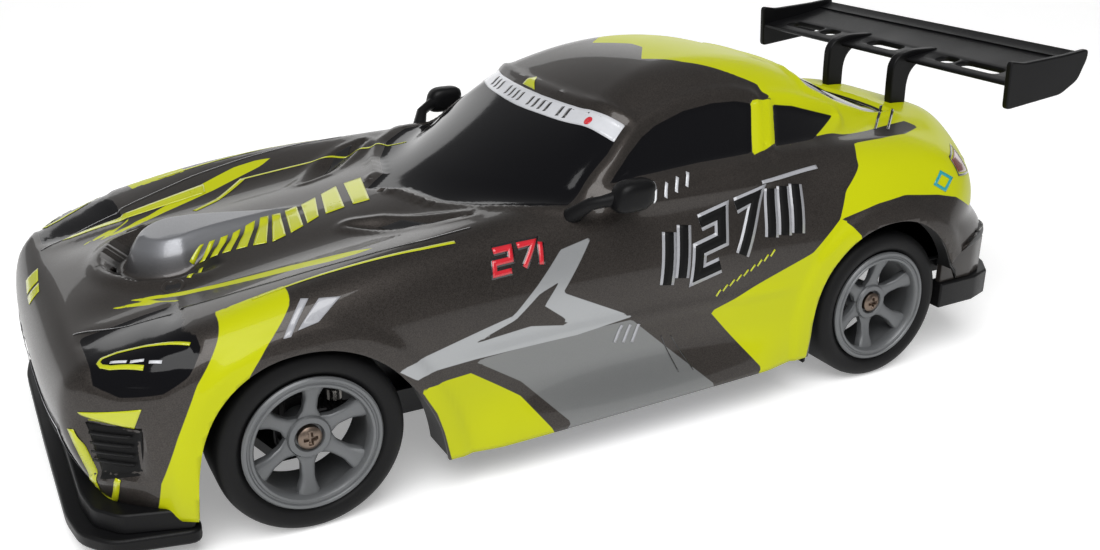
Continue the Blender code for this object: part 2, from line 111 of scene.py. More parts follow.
# %% Wires and finishes
class Wire:
    """One number on its way through a material."""

    def __init__(self, finish, socket):
        self.finish, self.socket = finish, socket

    def maths(self, operation, *others):
        made = self.finish.node("ShaderNodeMath", {"operation": operation}, dict(enumerate((self, *others))))
        return Wire(self.finish, made.outputs[0])

    def __add__(self, other):
        return self.maths("ADD", other)

    def __sub__(self, other):
        return self.maths("SUBTRACT", other)

    def __rsub__(self, other):
        return self.maths("MULTIPLY", -1.0) + other

    def __mul__(self, other):
        return self.maths("MULTIPLY", other)

    def __truediv__(self, other):
        return self.maths("DIVIDE", other)

    __radd__, __rmul__ = __add__, __mul__

    def clamp(self):
        """The same number, held between 0 and 1."""
        return (self + 0.0).held()

    def held(self):
        self.socket.node.use_clamp = True
        return self

    def above(self, level, softness):
        """1 where the number is over level, 0 under it, with an edge softness wide."""
        return ((self - level) * (1.0 / softness) + 0.5).held()


class Finish:
    """A material round one Principled shader."""

    def __init__(self, name, **uniform):
        self.material = bpy.data.materials.new(name)
        self.material.use_nodes = True
        self.tree = self.material.node_tree
        self.shader = self.tree.nodes["Principled BSDF"]
        for label, value in uniform.items():
            self.shader.inputs[label.replace("_", " ")].default_value = value

    def node(self, kind, settings=None, inputs=None):
        """A new node; settings are set first, then its inputs get values or links."""
        made = self.tree.nodes.new(kind)
        for label, value in (settings or {}).items():
            setattr(made, label, value)
        for label, value in (inputs or {}).items():
            self.feed(made.inputs[label], value)
        return made

    def feed(self, socket, value):
        source = value.socket if isinstance(value, Wire) else value
        if isinstance(source, bpy.types.NodeSocket):
            self.tree.links.new(source, socket)
        else:
            socket.default_value = source

    def drive(self, **inputs):
        for label, value in inputs.items():
            self.feed(self.shader.inputs[label.replace("_", " ")], value)

    def place(self, scale=(1, 1, 1)):
        """Object coordinates, stretched by scale: the pattern stays put in the piece."""
        source = self.node("ShaderNodeTexCoord").outputs["Object"]
        if scale == (1, 1, 1):
            return source
        return self.node("ShaderNodeMapping", {}, {"Vector": source, "Scale": scale}).outputs[0]

    def noise(self, scale, detail=2.0, stretch=(1, 1, 1)):
        made = self.node("ShaderNodeTexNoise", {}, {"Vector": self.place(stretch), "Scale": scale,
                                                    "Detail": detail})
        return Wire(self, made.outputs[0])

    def attribute(self, name):
        return Wire(self, self.node("ShaderNodeAttribute", {"attribute_name": name}).outputs["Fac"])

    def mix(self, share, first, second):
        """A colour between first and second."""
        made = self.node("ShaderNodeMix", {"data_type": "RGBA"}, {0: share, 6: first, 7: second})
        return made.outputs[2]

    def bump(self, height, depth, strength=1.0):
        made = self.node("ShaderNodeBump", {}, {"Height": height, "Distance": depth, "Strength": strength})
        self.drive(Normal=made.outputs[0])


def tint(red, green, blue):
    return (red, green, blue, 1.0)


# %% [markdown]
# ## Moulded and turned finishes
# Moulded nylon, rubber and cast wheels share one recipe: a fine grain that roughens the gloss a little,
# and slow blotches in colour and shine where hands and dust have been. Turned metal swaps the grain for
# fine rings, which a noise stretched along one direction gives at no cost.

# %% Finishes for plain parts
def grained(name, colour, roughness, grain, size, spread=0.25, stretch=(1, 1, 1), **uniform):
    """Colour and gloss wander by spread; grain is the bump's depth in millimetres, size its pitch."""
    made = Finish(name, **uniform)
    cloud, fine = made.noise(45.0, 3.0), made.noise(1.0 / (size * MM), 2.0, stretch)
    light = tuple(min(channel * (1 + spread), 1) for channel in colour)
    dark = tuple(channel * (1 - spread) for channel in colour)
    mixed = made.mix((cloud * 0.7 + fine * 0.3).above(0.5, 0.5), tint(*dark), tint(*light))
    made.drive(Base_Color=mixed, Roughness=(cloud - 0.5) * 0.25 + (fine - 0.5) * 0.12 + roughness)
    made.bump(fine, grain * MM)
    return made.material


trim_black = grained("satin_black_moulding", (0.0045, 0.0045, 0.005), 0.42, 0.03, 0.35,
                     Specular_IOR_Level=0.16)
nylon = grained("glass_filled_nylon", (0.018, 0.018, 0.020), 0.52, 0.06, 0.5)
case_black = grained("fine_matt_case", (0.020, 0.020, 0.022), 0.55, 0.03, 0.25)
battery_wrap = grained("battery_shrink_wrap", (0.03, 0.12, 0.42), 0.28, 0.10, 2.5, 0.12, (0.3, 1, 1),
                       Coat_Weight=0.5)
motor_can = grained("turned_motor_can", (0.56, 0.57, 0.59), 0.30, 0.02, 0.3, 0.12, (8, 0.4, 0.4),
                    Metallic=1.0)
steel = grained("turned_steel", (0.46, 0.44, 0.41), 0.28, 0.015, 0.25, 0.15, Metallic=1.0)
screw_steel = grained("browned_screw_steel", (0.20, 0.155, 0.125), 0.36, 0.02, 0.4, 0.35, Metallic=1.0)
spring_steel = grained("blackened_spring", (0.06, 0.06, 0.065), 0.32, 0.02, 0.3, 0.2, Metallic=0.8)
wheel_grey = grained("cast_wheel_grey", (0.135, 0.14, 0.145), 0.42, 0.025, 0.3, 0.10, Metallic=0.35)
rubber = grained("slick_rubber", (0.0042, 0.0042, 0.0046), 0.6, 0.03, 0.45, 0.35, Specular_IOR_Level=0.2)
foam = grained("bumper_foam_cells", (0.03, 0.03, 0.032), 0.95, 0.35, 0.9, 0.5)
mirror_glass = grained("mirror_glass", (0.75, 0.76, 0.78), 0.06, 0.0, 0.5, 0.03, Metallic=1.0)
print("plain finishes", len(bpy.data.materials))

# %% [markdown]
# ## Meshes from arrays
# Every new surface is a grid of points worked out at once. One function turns such a grid into faces, and
# can close it round either direction; another adds several grids into one piece. The pieces are computed
# in millimetres and scaled to metres as they are stored.

# %% Grids into pieces
def grid_faces(rows, columns, wrap_rows=False, wrap_columns=False):
    """Corner numbers of every cell of a grid stored row after row."""
    i = np.arange(rows if wrap_rows else rows - 1)[:, None]
    j = np.arange(columns if wrap_columns else columns - 1)[None, :]
    i_next, j_next = (i + 1) % rows, (j + 1) % columns
    cells = [i * columns + j, i * columns + j_next, i_next * columns + j_next, i_next * columns + j]
    return np.stack(np.broadcast_arrays(*cells), axis=-1).reshape(-1, 4)


def build(name, parts, finish, body, outward=False, angle=35):
    """One object from (points, faces) parts in millimetres; outward lets Blender turn every closed part."""
    points, faces, start = [], [], 0
    for part_points, part_faces in parts:
        flat = np.asarray(part_points, float).reshape(-1, 3)
        points.append(flat)
        faces += [tuple(int(v) + start for v in face) for face in part_faces]
        start += len(flat)
    mesh = bpy.data.meshes.new(name)
    mesh.from_pydata((np.concatenate(points) * MM).tolist(), [], faces)
    made = bpy.data.objects.new(name, mesh)
    bpy.context.collection.objects.link(made)
    if outward:
        bm = bmesh.new()
        bm.from_mesh(mesh)
        bmesh.ops.remove_doubles(bm, verts=bm.verts, dist=1e-6)
        bmesh.ops.dissolve_degenerate(bm, edges=bm.edges, dist=1e-7)
        bmesh.ops.recalc_face_normals(bm, faces=bm.faces)
        bm.to_mesh(mesh)
        bm.free()
    mesh.shade_smooth()
    mesh.set_sharp_from_angle(angle=math.radians(angle))
    for material in finish if isinstance(finish, tuple) else (finish,):
        mesh.materials.append(material)
    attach(made, body)
    return made


def soften(piece, width, segments=2):
    """A Bevel modifier: real mouldings have no razor edges."""
    step = piece.modifiers.new("edges", "BEVEL")
    step.width, step.segments, step.limit_method = width * MM, segments, "ANGLE"
    step.angle_limit = math.radians(40)
    step.harden_normals = False
    return piece


def lathe(profile, sides):
    """A closed (radius, along) profile turned round x = 0, z = 0, with along on y."""
    radius, along = np.array(profile, float).T
    angle = np.linspace(0, 2 * math.pi, sides, endpoint=False)[:, None]
    points = np.stack([radius * np.cos(angle), along + 0 * angle, radius * np.sin(angle)], axis=-1)
    return points, grid_faces(sides, len(profile), True, True)


def plate(outline, axis, low, high):
    """An outline given in the other two coordinates, swept from low to high along an axis."""
    flat = np.array(outline, float)
    count = len(flat)
    walls = np.concatenate([np.insert(flat, "xyz".index(axis), depth, axis=1) for depth in (low, high)])
    faces = [tuple(range(count))[::-1], tuple(range(count, 2 * count))]
    faces += [(i, (i + 1) % count, (i + 1) % count + count, i + count) for i in range(count)]
    return walls, faces


def rounded(outline, radius, steps=5):
    """Every corner of a closed outline replaced by a parabola that leaves it radius from the corner."""
    made = []
    for i, corner in enumerate(np.array(outline, float)):
        before, after = np.array(outline[i - 1], float), np.array(outline[(i + 1) % len(outline)], float)
        cut = min(radius, 0.48 * np.linalg.norm(before - corner), 0.48 * np.linalg.norm(after - corner))
        start = corner + (before - corner) * cut / np.linalg.norm(before - corner)
        end = corner + (after - corner) * cut / np.linalg.norm(after - corner)
        for t in np.linspace(0, 1, steps):
            made.append(((1 - t) ** 2 * start + 2 * t * (1 - t) * corner + t * t * end).tolist())
    return made


def tube(path, radius, sides=10):
    """A round bar along a path of points, with closed flat ends."""
    path = np.array(path, float)
    along = np.gradient(path, axis=0)
    along /= np.linalg.norm(along, axis=1)[:, None]
    guide = np.array([0.31, 0.17, 0.93])
    side = np.cross(along, guide)
    side /= np.linalg.norm(side, axis=1)[:, None]
    other = np.cross(along, side)
    angle = np.linspace(0, 2 * math.pi, sides, endpoint=False)[None, :, None]
    radius = np.broadcast_to(np.asarray(radius, float), len(path))[:, None, None]
    ring = path[:, None] + radius * (np.cos(angle) * side[:, None] + np.sin(angle) * other[:, None])
    count = len(path)
    faces = [tuple(face) for face in grid_faces(count, sides, False, True)]
    faces += [tuple(range(sides)), tuple(range((count - 1) * sides, count * sides))[::-1]]
    return ring, faces


# %% [markdown]
# ## The shell's shape
# The shell is one implicit field: a number that is negative inside the car and positive outside. Bonnet
# and flanks come from guiding curves, rounded together; the cabin is a second field blended on top. Rays
# shot from a spine inside the car find the surface, so the grid is fine and even where it matters.

# %% Guiding curves
FRONT_X, REAR_X, AXLE_Z = 95.5, -72.5, 22.0
CENTRE_LINE = [(-132, 64), (-124, 67), (-117, 68), (-108, 68.3), (-90, 68.5), (-60, 68), (-20, 66),
               (20, 63.5), (45, 61.5), (69, 58.3), (92, 55), (115, 51.2), (130, 48.5), (141, 44.5),
               (150, 38)]
FENDER_LINE = [(-130, 55), (-118, 59), (-105, 62.5), (-90, 66), (-72.5, 67.5), (-50, 67.5), (-20, 66),
               (20, 63.8), (44, 62.5), (60, 61.2), (76, 59.5), (95, 56.6), (112, 53), (125, 50),
               (138, 46), (150, 40)]
HALF_WIDTH = [(-132, 56), (-118, 59), (-100, 62), (-72.5, 63), (-48, 60.3), (-15, 58.2), (25, 57.8),
              (50, 59.5), (70, 61.8), (95.5, 63), (112, 62.4), (125, 60.5), (137, 56), (148, 50)]
ROOF_LINE = [(-150, 20), (-125, 58), (-112, 66), (-100, 69), (-87, 73.5), (-70, 81), (-55, 86.3),
             (-40, 89), (-25, 89.4), (-12, 87.6), (0.5, 83.5), (13, 77.5), (30, 69.5), (46, 61.8),
             (54, 57.5), (66, 50), (90, 20)]
GLASS_BASE = [(-118, 24), (-100, 29), (-80, 37), (-60, 45), (-40, 49.5), (-10, 50.3), (15, 49), (30, 46),
              (60, 40)]
SKIRT_LINE = [(-132, 35), (-99, 35), (-96, 33), (-90, 14), (-86, 12.6), (-50, 12), (0, 10.5), (60, 9.2),
              (110, 9.5), (150, 10)]


def through(x, knots):
    """Smooth curve through (x, value) knots: a cubic between neighbours, slopes from their chords."""
    table = np.array(knots, float)
    at, value = table[:, 0], table[:, 1]
    step = np.diff(at)
    rise = np.diff(value) / step
    inner = (rise[:-1] * step[1:] + rise[1:] * step[:-1]) / (step[1:] + step[:-1])
    slope = np.concatenate([[rise[0]], inner, [rise[-1]]])
    x = np.clip(x, at[0], at[-1])
    i = np.clip(np.searchsorted(at, x) - 1, 0, len(step) - 1)
    t = (x - at[i]) / step[i]
    return ((1 + 2 * t) * (1 - t) ** 2 * value[i] + t * (1 - t) ** 2 * step[i] * slope[i]
            + t * t * (3 - 2 * t) * value[i + 1] + t * t * (t - 1) * step[i] * slope[i + 1])


def ramp(value, start, end):
    """0 before start, 1 after end, and a smooth step between."""
    t = np.clip((value - start) / (end - start), 0, 1)
    return t * t * (3 - 2 * t)


def round_max(a, b, radius):
    """The larger of two fields, with their crossing rounded off."""
    near = np.maximum(radius - np.abs(a - b), 0) / radius
    return np.maximum(a, b) + near * near * radius / 4


# %% [markdown]
# The bonnet carries an air intake: a smooth tear drop that swells out of a sunken horseshoe. Both are
# distances from simple plan shapes, a circle at the front and a straight or tapering tail behind it.

# %% Bonnet, flanks and ends
def dome_edge(x, side):
    """Distance inside the tear drop's outline: a 12 mm circle that narrows towards the screen."""
    width = 12.5 - 10.5 * np.clip((110 - x) / 34, 0, 1)
    return width - np.hypot(np.maximum(x - 110, 0), side)


def horseshoe_edge(x, side):
    """Distance inside the sunken horseshoe round the tear drop."""
    return np.minimum(20.5 - np.hypot(np.maximum(x - 107, 0), side), x - 101)


def intake(x, side):
    """Height added to the bonnet by the tear drop and taken away by the horseshoe."""
    dome = ramp(dome_edge(x, side), 0, 5) * (0.8 + 4.0 * ramp(x, 76, 112))
    sunk = ramp(horseshoe_edge(x, side), -0.6, 3.6) * ramp(-dome_edge(x, side), -2.0, 0.4)
    lip = 0.8 * np.exp(-((horseshoe_edge(x, side) + 1.6) / 2.2) ** 2) * ramp(x, 104, 112)
    return dome * ramp(x, 74, 84) - 3.0 * sunk * ramp(x, 101, 112) + lip


def top_height(x, side):
    """Height of bonnet and rear deck: the centre line, lifted to the fender crests."""
    centre, crest = through(x, CENTRE_LINE), through(x, FENDER_LINE)
    height = centre + (crest - centre) * np.exp(-((side - 53) / 15) ** 2)
    valley = 1.6 * ramp(x, 35, 60) * (1 - ramp(x, 128, 142)) * np.exp(-((side - 27) / 11) ** 2)
    return height - valley + intake(x, side)


def flank(x, z):
    """Half width at a height: it leans in above the wheels and flares out to the sills."""
    wide = through(x, HALF_WIDTH)
    door = ramp(x, -48, -30) * (1 - ramp(x, 48, 66))
    lean = 0.016 * np.maximum(z - 40, 0) ** 2 + 0.002 * np.maximum(30 - z, 0) ** 2
    crease = 0.5 * door * np.exp(-((z - 34) / 1.6) ** 2)
    return wide - lean + door * ramp(-z, -26, -9) * (62.6 - wide) + crease


def nose(side, z):
    """How far the front reaches at a place across the car and a height."""
    forward = 147.3 - 1.15e-5 * side ** 3.2 - 9 * ramp(side, 44, 62)
    return forward - 0.03 * np.maximum(32 - z, 0) ** 1.8 - 0.05 * np.maximum(z - 40, 0) ** 1.5


def tail(side, z):
    """How far the back reaches."""
    back = -130 + 1.25e-4 * side ** 3
    lean = 0.012 + 0.019 * ramp(side, 15, 48)
    back = back - 6.0 * ramp(side, 22, 48) * ramp(-z, -45, -36)
    return back + lean * np.maximum(z - 46, 0) ** 2 + 0.02 * np.maximum(30 - z, 0)


def cabin(x, side, z):
    """Roof, pillars and glass: below zero inside."""
    rise = np.clip((z - 62) / 18, 0, 1)
    wrap = 0.0118 * (1 - rise) * side * side * ramp(x, -30, 10)
    roof = z - (through(x + wrap, ROOF_LINE) + 1.5 * ramp(z, 66, 84) - 1.6 * rise * (side / 33) ** 2)
    glass = (side - through(x, GLASS_BASE) + 1.0 * np.maximum(z - 66, -3)) / 1.5
    ends = np.maximum(x - 72, -122 - x)
    return np.maximum(round_max(roof, glass, 6), ends)


def shell_field(x, y, z):
    """Below zero inside the shell's outer surface, above zero outside it."""
    side = np.abs(y)
    low = round_max(z - top_height(x, side), side - flank(x, z), 8)
    low = round_max(low, x - nose(side, z), 8)
    low = round_max(low, tail(side, z) - x, 7)
    return -round_max(-low, -cabin(x, side, z), 2)


# %% [markdown]
# ## Painted outlines
# The graphics are masked and sprayed inside the clear shell, so their edges are crisp. Each colour area is
# a closed outline drawn on the side view or the plan view. The signed distance to it is stored on every
# point of the shell; the paint then only asks where that distance is above zero.

# %% Distance to an outline
def inside(points, outline):
    """Signed distance in the plane to a closed outline, above zero inside it."""
    loop = np.array(outline, float)
    best = np.full(points.shape[:-1], 1e9)
    crossings = np.zeros(points.shape[:-1], int)
    for a, b in zip(loop, np.roll(loop, -1, axis=0)):
        edge, away = b - a, points - a
        t = np.clip((away @ edge) / (edge @ edge), 0, 1)
        best = np.minimum(best, np.linalg.norm(away - t[..., None] * edge, axis=-1))
        spans = (a[1] > points[..., 1]) != (b[1] > points[..., 1])
        rise = edge[1] if edge[1] else 1e-9
        crossings += spans & (points[..., 0] < a[0] + (points[..., 1] - a[1]) * edge[0] / rise)
    return np.where(crossings % 2 == 1, best, -best)


def any_of(*areas):
    return np.maximum.reduce(areas)


# Side view outlines, (x, z) in millimetres
WING_BAND = [(96, 57.5), (104, 56.5), (111.5, 54), (113.5, 50.5), (119.3, 42.5), (124.2, 31.2),
             (128.4, 19.6), (129.3, 12), (129, 6), (120, 6), (120.5, 24), (118, 30.5), (113.5, 36),
             (110.5, 40), (108, 43.9), (104.5, 48.1), (97.2, 54.9)]
LIGHTNING = [(76, 36.5), (62.7, 39.0), (44.7, 42.2), (37.2, 48.3), (29.7, 54.9), (20.5, 56.4),
             (30.6, 45.0), (10.5, 34.8), (27, 33.2), (55.3, 33.8), (69.1, 33.6), (71.2, 32.9)]
LIGHTNING_HOLE = [(56, 37.6), (40.0, 38.4), (29, 36.2), (30.5, 38.5), (36, 42.8), (31.4, 47.8),
                  (37.1, 46.0), (44.2, 41.0)]
DOOR_SILVER = [(56, 33.4), (10.8, 34.0), (-13.4, 12), (-15, 6), (34, 6), (30, 11.2), (42.8, 24.4)]
FRONT_WEDGE = [(70.5, 30.3), (56.7, 30.4), (43.2, 20.8), (35.6, 11), (33, 6), (62, 6), (62.5, 9),
               (64.5, 17.3), (66.4, 23)]
REAR_WEDGE = [(-13.5, 31.3), (-45.5, 43.0), (-55.2, 51.4), (-61.0, 45.5), (-57, 42), (-52, 36), (-48, 28),
              (-46, 12), (-46, 6), (-25, 6), (-29.5, 12.9)]
QUARTER = [(-68.3, 67.2), (-80, 68.4), (-100, 69), (-132, 66), (-132, 46), (-106.5, 46.4), (-97, 51.5),
           (-89.8, 53.2), (-77.4, 54.8), (-67.3, 53.7), (-54.6, 50.8), (-58.2, 57.8), (-64.2, 62.6),
           (-66.4, 64.8)]
SIDE_GLASS = [(11.5, 66.9), (8.6, 69.3), (3.8, 72.8), (-1.5, 75.8), (-7.2, 78), (-17.3, 80.3),
              (-27, 81.2), (-35, 80.9), (-40.0, 79.8), (-32.6, 69.5), (-15.3, 69.2), (3.8, 68.2)]
QUARTER_GLASS = [(-47.9, 78.6), (-55, 77.4), (-71.1, 72.6), (-57, 69.3), (-41.6, 69.9)]
PILLAR_BAR = [(-40.0, 80.3), (-47.9, 79.5), (-42.2, 70.5), (-36.5, 69.3), (-32.4, 68.8)]
ROOF_ARCH = [(14.5, 69.5), (8.4, 75.5), (0, 81.7), (-13.2, 86.1), (-27.7, 87.8), (-38.6, 86.6),
             (-45.3, 82.0), (-47.9, 79), (-38, 60), (14, 60)]

# Plan view outlines, (x, half width)
SCREEN = [(60, -1), (51.5, 8), (47.2, 22), (40.5, 34), (31.5, 42.5), (22.8, 45.6), (15.8, 42.8), (9, 41.0),
          (1.4, 37.0), (3.9, 33), (6.2, 27), (7.6, 20), (8.7, 8), (8.9, -1)]
REAR_SCREEN = [(-63, -1), (-64, 17), (-66.5, 27), (-76, 28), (-92, 26), (-101, 24), (-103, 10), (-103.4, -1)]
BONNET_BAND = [(123.5, 23.2), (106.8, 29.5), (92, 33.8), (77.1, 39.6), (71.5, 44.2), (83.9, 43.0),
               (97, 37.6), (109, 31.6)]
EDGE_DASHES = ([(127, 22.2), (117.5, 27.6), (112, 30.5), (119, 24.6)],
               [(131.5, 22.6), (120, 29.6), (114, 33.4), (122.5, 25.6)])
ROOF_YELLOW = [(-25, -1), (-25, 3), (-18, 13.5), (-26.3, 21.9), (-38.4, 28.5), (-45.2, 31), (-49, 60),
               (-70, 60), (-140, 60), (-140, -1)]
BELT_BAND = [(-38, 48), (-49.5, 44.1), (-62.1, 41.0), (-81.1, 38.4), (-100.1, 33.6), (-101.5, 38),
             (-91.6, 42.9), (-80, 45.2), (-69.2, 46.0), (-64.6, 53), (-52, 58), (-38, 58)]
print("outlines of the paintwork are ready")

# %% [markdown]
# ## Shell details in relief
# Windows sit a little deeper than the paint round them, vents and grilles are sunk, and the wheel arches
# carry a raised lip. All of that is one height, added along the surface normal once the rays have landed.

# %% Relief and shell points
HOOD_VENT = [(70.5, 20.2), (64, 22.5), (54, 31.2), (46, 38.4), (53, 35.6), (62, 30.6)]
FRONT_ARCH = [(121.6, 2), (121.5, 14), (120.8, 22), (118.9, 30), (115.4, 36.6), (110.6, 41.4),
              (104.4, 44.4), (97.5, 45.4), (90.6, 44.8), (84, 42.4), (78.2, 38.4), (73.4, 33), (69.2, 27),
              (65.6, 19.7), (63.6, 12), (62.6, 2)]
REAR_ARCH = [(-46.4, 2), (-46.8, 15.7), (-47, 23.3), (-48.6, 31), (-52, 37.8), (-57.4, 43.4),
             (-64.8, 47.0), (-72.5, 48.2), (-80, 47.2), (-86.4, 43.9), (-91.6, 38.8), (-95.4, 32.4),
             (-98, 24.4), (-99.4, 14), (-100, 2)]
HEADLIGHT = [(138.2, 47.4), (128.5, 50.4), (117.4, 51.6), (117.2, 49.4), (120.6, 44.4), (126.0, 41.2),
             (134, 40.2), (138.6, 42.2)]
SIDE_GRILLE = [(141.6, 35), (131.0, 32.6), (131.6, 20.8), (141.2, 18.8), (142.6, 27)]


def masks(point):
    """Signed distances, in millimetres, to every painted area at points on the outer surface."""
    x, side, z = point[..., 0], np.abs(point[..., 1]), point[..., 2]
    profile, plan = np.stack([x, z], -1), np.stack([x, side], -1)
    on_side = side - 49.0
    cabin_side = np.minimum(z - 62.0, side - 24)
    arch = np.minimum(inside(profile, ROOF_ARCH), z - 60)
    glass = any_of(np.minimum(inside(plan, SCREEN), z - 58), np.minimum(inside(plan, REAR_SCREEN), z - 66),
                   np.minimum(any_of(inside(profile, SIDE_GLASS), inside(profile, QUARTER_GLASS)),
                              cabin_side))
    yellow = any_of(np.minimum(inside(profile, WING_BAND), on_side - 0.6),
                    np.minimum(any_of(inside(profile, FRONT_WEDGE), inside(profile, REAR_WEDGE)), on_side),
                    np.minimum(inside(profile, QUARTER), 74 - z),
                    np.minimum(inside(profile, PILLAR_BAR), cabin_side),
                    np.minimum(np.minimum(inside(plan, ROOF_YELLOW), z - 64), -arch),
                    np.minimum(any_of(*(inside(plan, area) for area in (BONNET_BAND, *EDGE_DASHES))), z - 40))
    yellow = np.minimum(yellow, -np.minimum(inside(plan, BELT_BAND), z - 61))
    shine = np.minimum(inside(profile, LIGHTNING), -inside(profile, LIGHTNING_HOLE))
    lamp = np.minimum(inside(profile, HEADLIGHT), side - 33)
    return {"yellow": np.minimum(yellow, -glass), "lamp": lamp, "bright": np.minimum(shine, on_side),
            "silver": np.minimum(inside(profile, DOOR_SILVER), on_side), "glass": glass,
            "dome": np.minimum(dome_edge(x, side), np.minimum(x - 80, z - 45)),
            "sunk": np.minimum(horseshoe_edge(x, side) - 0.6, -dome_edge(x, side) - 0.2)}


def relief(point):
    """How far the surface stands proud, in millimetres, at points on the smooth field."""
    x, side, z = point[..., 0], np.abs(point[..., 1]), point[..., 2]
    profile, plan = np.stack([x, z], -1), np.stack([x, side], -1)
    outer = ramp(side, 46, 54)
    glass = masks(point)["glass"]
    height = -0.7 * ramp(glass, -0.8, 0.9) + 0.75 * np.exp(-((glass + 2.2) / 1.3) ** 2) * (z > 60)
    for arch in (FRONT_ARCH, REAR_ARCH):
        gap = -inside(profile, arch)
        height = height + 0.9 * outer * ramp(-gap, -6.5, -4.2) * (z > 8)
    vent = np.minimum(inside(plan, HOOD_VENT), z - 45)
    height = height - 1.2 * ramp(vent, -1.4, 1.8) + 0.5 * np.exp(-((vent + 2.2) / 1.3) ** 2)
    height = height - 0.8 * ramp(inside(profile, HEADLIGHT), -0.8, 1.0) * ramp(side, 30, 36)
    height = height - 1.4 * ramp(inside(profile, SIDE_GRILLE), -0.8, 1.0) * ramp(side, 36, 42)
    return height


def surface_normal(point):
    """Direction in which the field grows fastest."""
    x, y, z = point[..., 0], point[..., 1], point[..., 2]
    step = 0.4
    slope = np.stack([shell_field(x + step, y, z) - shell_field(x - step, y, z),
                      shell_field(x, y + step, z) - shell_field(x, y - step, z),
                      shell_field(x, y, z + step) - shell_field(x, y, z - step)], axis=-1)
    return slope / np.maximum(np.linalg.norm(slope, axis=-1, keepdims=True), 1e-9)


def shoot(start, aim, reach=120.0):
    """Where rays that start inside the shell leave it, found by halving the stretch that holds it."""
    near, far = np.zeros(start.shape[:-1]), np.full(start.shape[:-1], reach)
    for _ in range(24):
        middle = (near + far) / 2
        at = start + middle[..., None] * aim
        within = shell_field(at[..., 0], at[..., 1], at[..., 2]) < 0
        near, far = np.where(within, middle, near), np.where(within, far, middle)
    return start + near[..., None] * aim


def finished(point, proud=0.0):
    """Points moved from the smooth field to the detailed surface, and proud of it."""
    return point + surface_normal(point) * (relief(point) + proud)[..., None]


def on_flank(profile, side, proud=0.0):
    """Points of the shell's flank at (x, z) pairs; side is 1 for the car's left."""
    profile = np.asarray(profile, float)
    start = np.stack([profile[..., 0], np.full(profile.shape[:-1], side * 6.0), profile[..., 1]], axis=-1)
    return finished(shoot(start, np.array([0.0, side, 0.0])), proud)


def on_top(plan, proud=0.0):
    """Points of the shell's upper side at (x, y) pairs."""
    plan = np.asarray(plan, float)
    start = np.stack([plan[..., 0], plan[..., 1], np.full(plan.shape[:-1], 36.0)], axis=-1)
    return finished(shoot(start, np.array([0.0, 0.0, 1.0])), proud)


# %% [markdown]
# ## The shell as a sheet
# Stations run round the tail, along the flank and round the nose, and each carries a fan of rays from
# straight up to level, then level rays down to the skirt. The half grid is mirrored and sewn together.
# Cells inside a wheel arch are dropped and the points on its edge are slid onto the arch's true curve.

# %% Shell mesh
def shell_grid(rear, middle, front, fan_rows, low_rows, top_of_low=36.0):
    """Half of the shell's smooth surface: stations by rows."""
    stations = [(-108 + 22 * i / rear, -90 + 90 * i / rear) for i in range(rear)]
    stations += [(-86 + 170 * i / (middle - 1), 0) for i in range(middle)]
    stations += [(84 + 42 * i / front, 90 * i / front) for i in range(1, front + 1)]
    spine, turned = np.array(stations, float)[:, :1], np.radians(np.array(stations, float)[:, 1:])
    rise = np.radians(np.linspace(90, 0, fan_rows + 1))[None, :]
    aim = np.stack(np.broadcast_arrays(np.sin(turned) * np.cos(rise), np.cos(turned) * np.cos(rise),
                                       np.sin(rise) + 0 * turned), axis=-1)
    start = np.stack(np.broadcast_arrays(spine, 0.0, top_of_low + 0 * rise), axis=-1)
    fan = shoot(start, aim)
    share = (np.arange(low_rows) + 1)[None, :] / low_rows
    height = top_of_low + (through(fan[:, -1:, 0], SKIRT_LINE) - top_of_low) * share
    start = np.stack(np.broadcast_arrays(spine, 0.0, height), axis=-1)
    aim = np.stack(np.broadcast_arrays(np.sin(turned) + 0 * height, np.cos(turned), 0.0), axis=-1)
    return np.concatenate([fan, shoot(start, aim)], axis=1)


def dense(outline, spacing=0.8):
    """An open outline with extra points, rounded by a smooth curve through its own corners."""
    corners = np.array(outline, float)
    length = np.concatenate([[0], np.cumsum(np.linalg.norm(np.diff(corners, axis=0), axis=1))])
    at = np.linspace(0, length[-1], int(length[-1] / spacing))
    return np.stack([through(at, np.stack([length, corners[:, axis]], 1)) for axis in (0, 1)], axis=-1)


def nearest_on(points, curve):
    """Nearest point of a dense curve to each point."""
    gaps = np.linalg.norm(points[:, None] - curve[None], axis=-1)
    return curve[gaps.argmin(axis=1)]


half = shell_grid(64, 132, 92, 96, 24)
point = np.concatenate([(half * (1, -1, 1))[:, :0:-1], half], axis=1)
stations, across = point.shape[:2]
point = point.reshape(-1, 3)
cells = grid_faces(stations, across)
drop = np.zeros(len(cells), bool)
for opening in (FRONT_ARCH, REAR_ARCH):
    edge = dense(opening, 0.2)
    within = (inside(point[:, (0, 2)], edge) > 0) & (np.abs(point[:, 1]) > 38)
    lost = within[cells].all(axis=1)
    drop |= lost
    kept = np.zeros(len(point), bool)
    kept[cells[~lost].ravel()] = True
    slide = np.flatnonzero(within & kept)
    level = nearest_on(point[slide][:, (0, 2)], edge)
    start = np.stack([level[:, 0], np.sign(point[slide, 1]) * 6.0, level[:, 1]], axis=-1)
    point[slide] = shoot(start, np.stack([0 * level[:, 0], np.sign(point[slide, 1]), 0 * level[:, 0]], -1))
painted = masks(point)
point = finished(point)
cells = cells[~drop]
print("shell", len(point), "points", len(cells), "cells")

# %% [markdown]
# ## Shell paint
# The body colour is a dark brown-grey metallic: tiny flakes turn each way under a clear coat. Yellow is a
# solid spray over it, silver keeps its flakes, and the windows are gloss black. Colour, metal, gloss and the
# weight of the coat change from area to area, with a faint orange peel that bends every reflection.

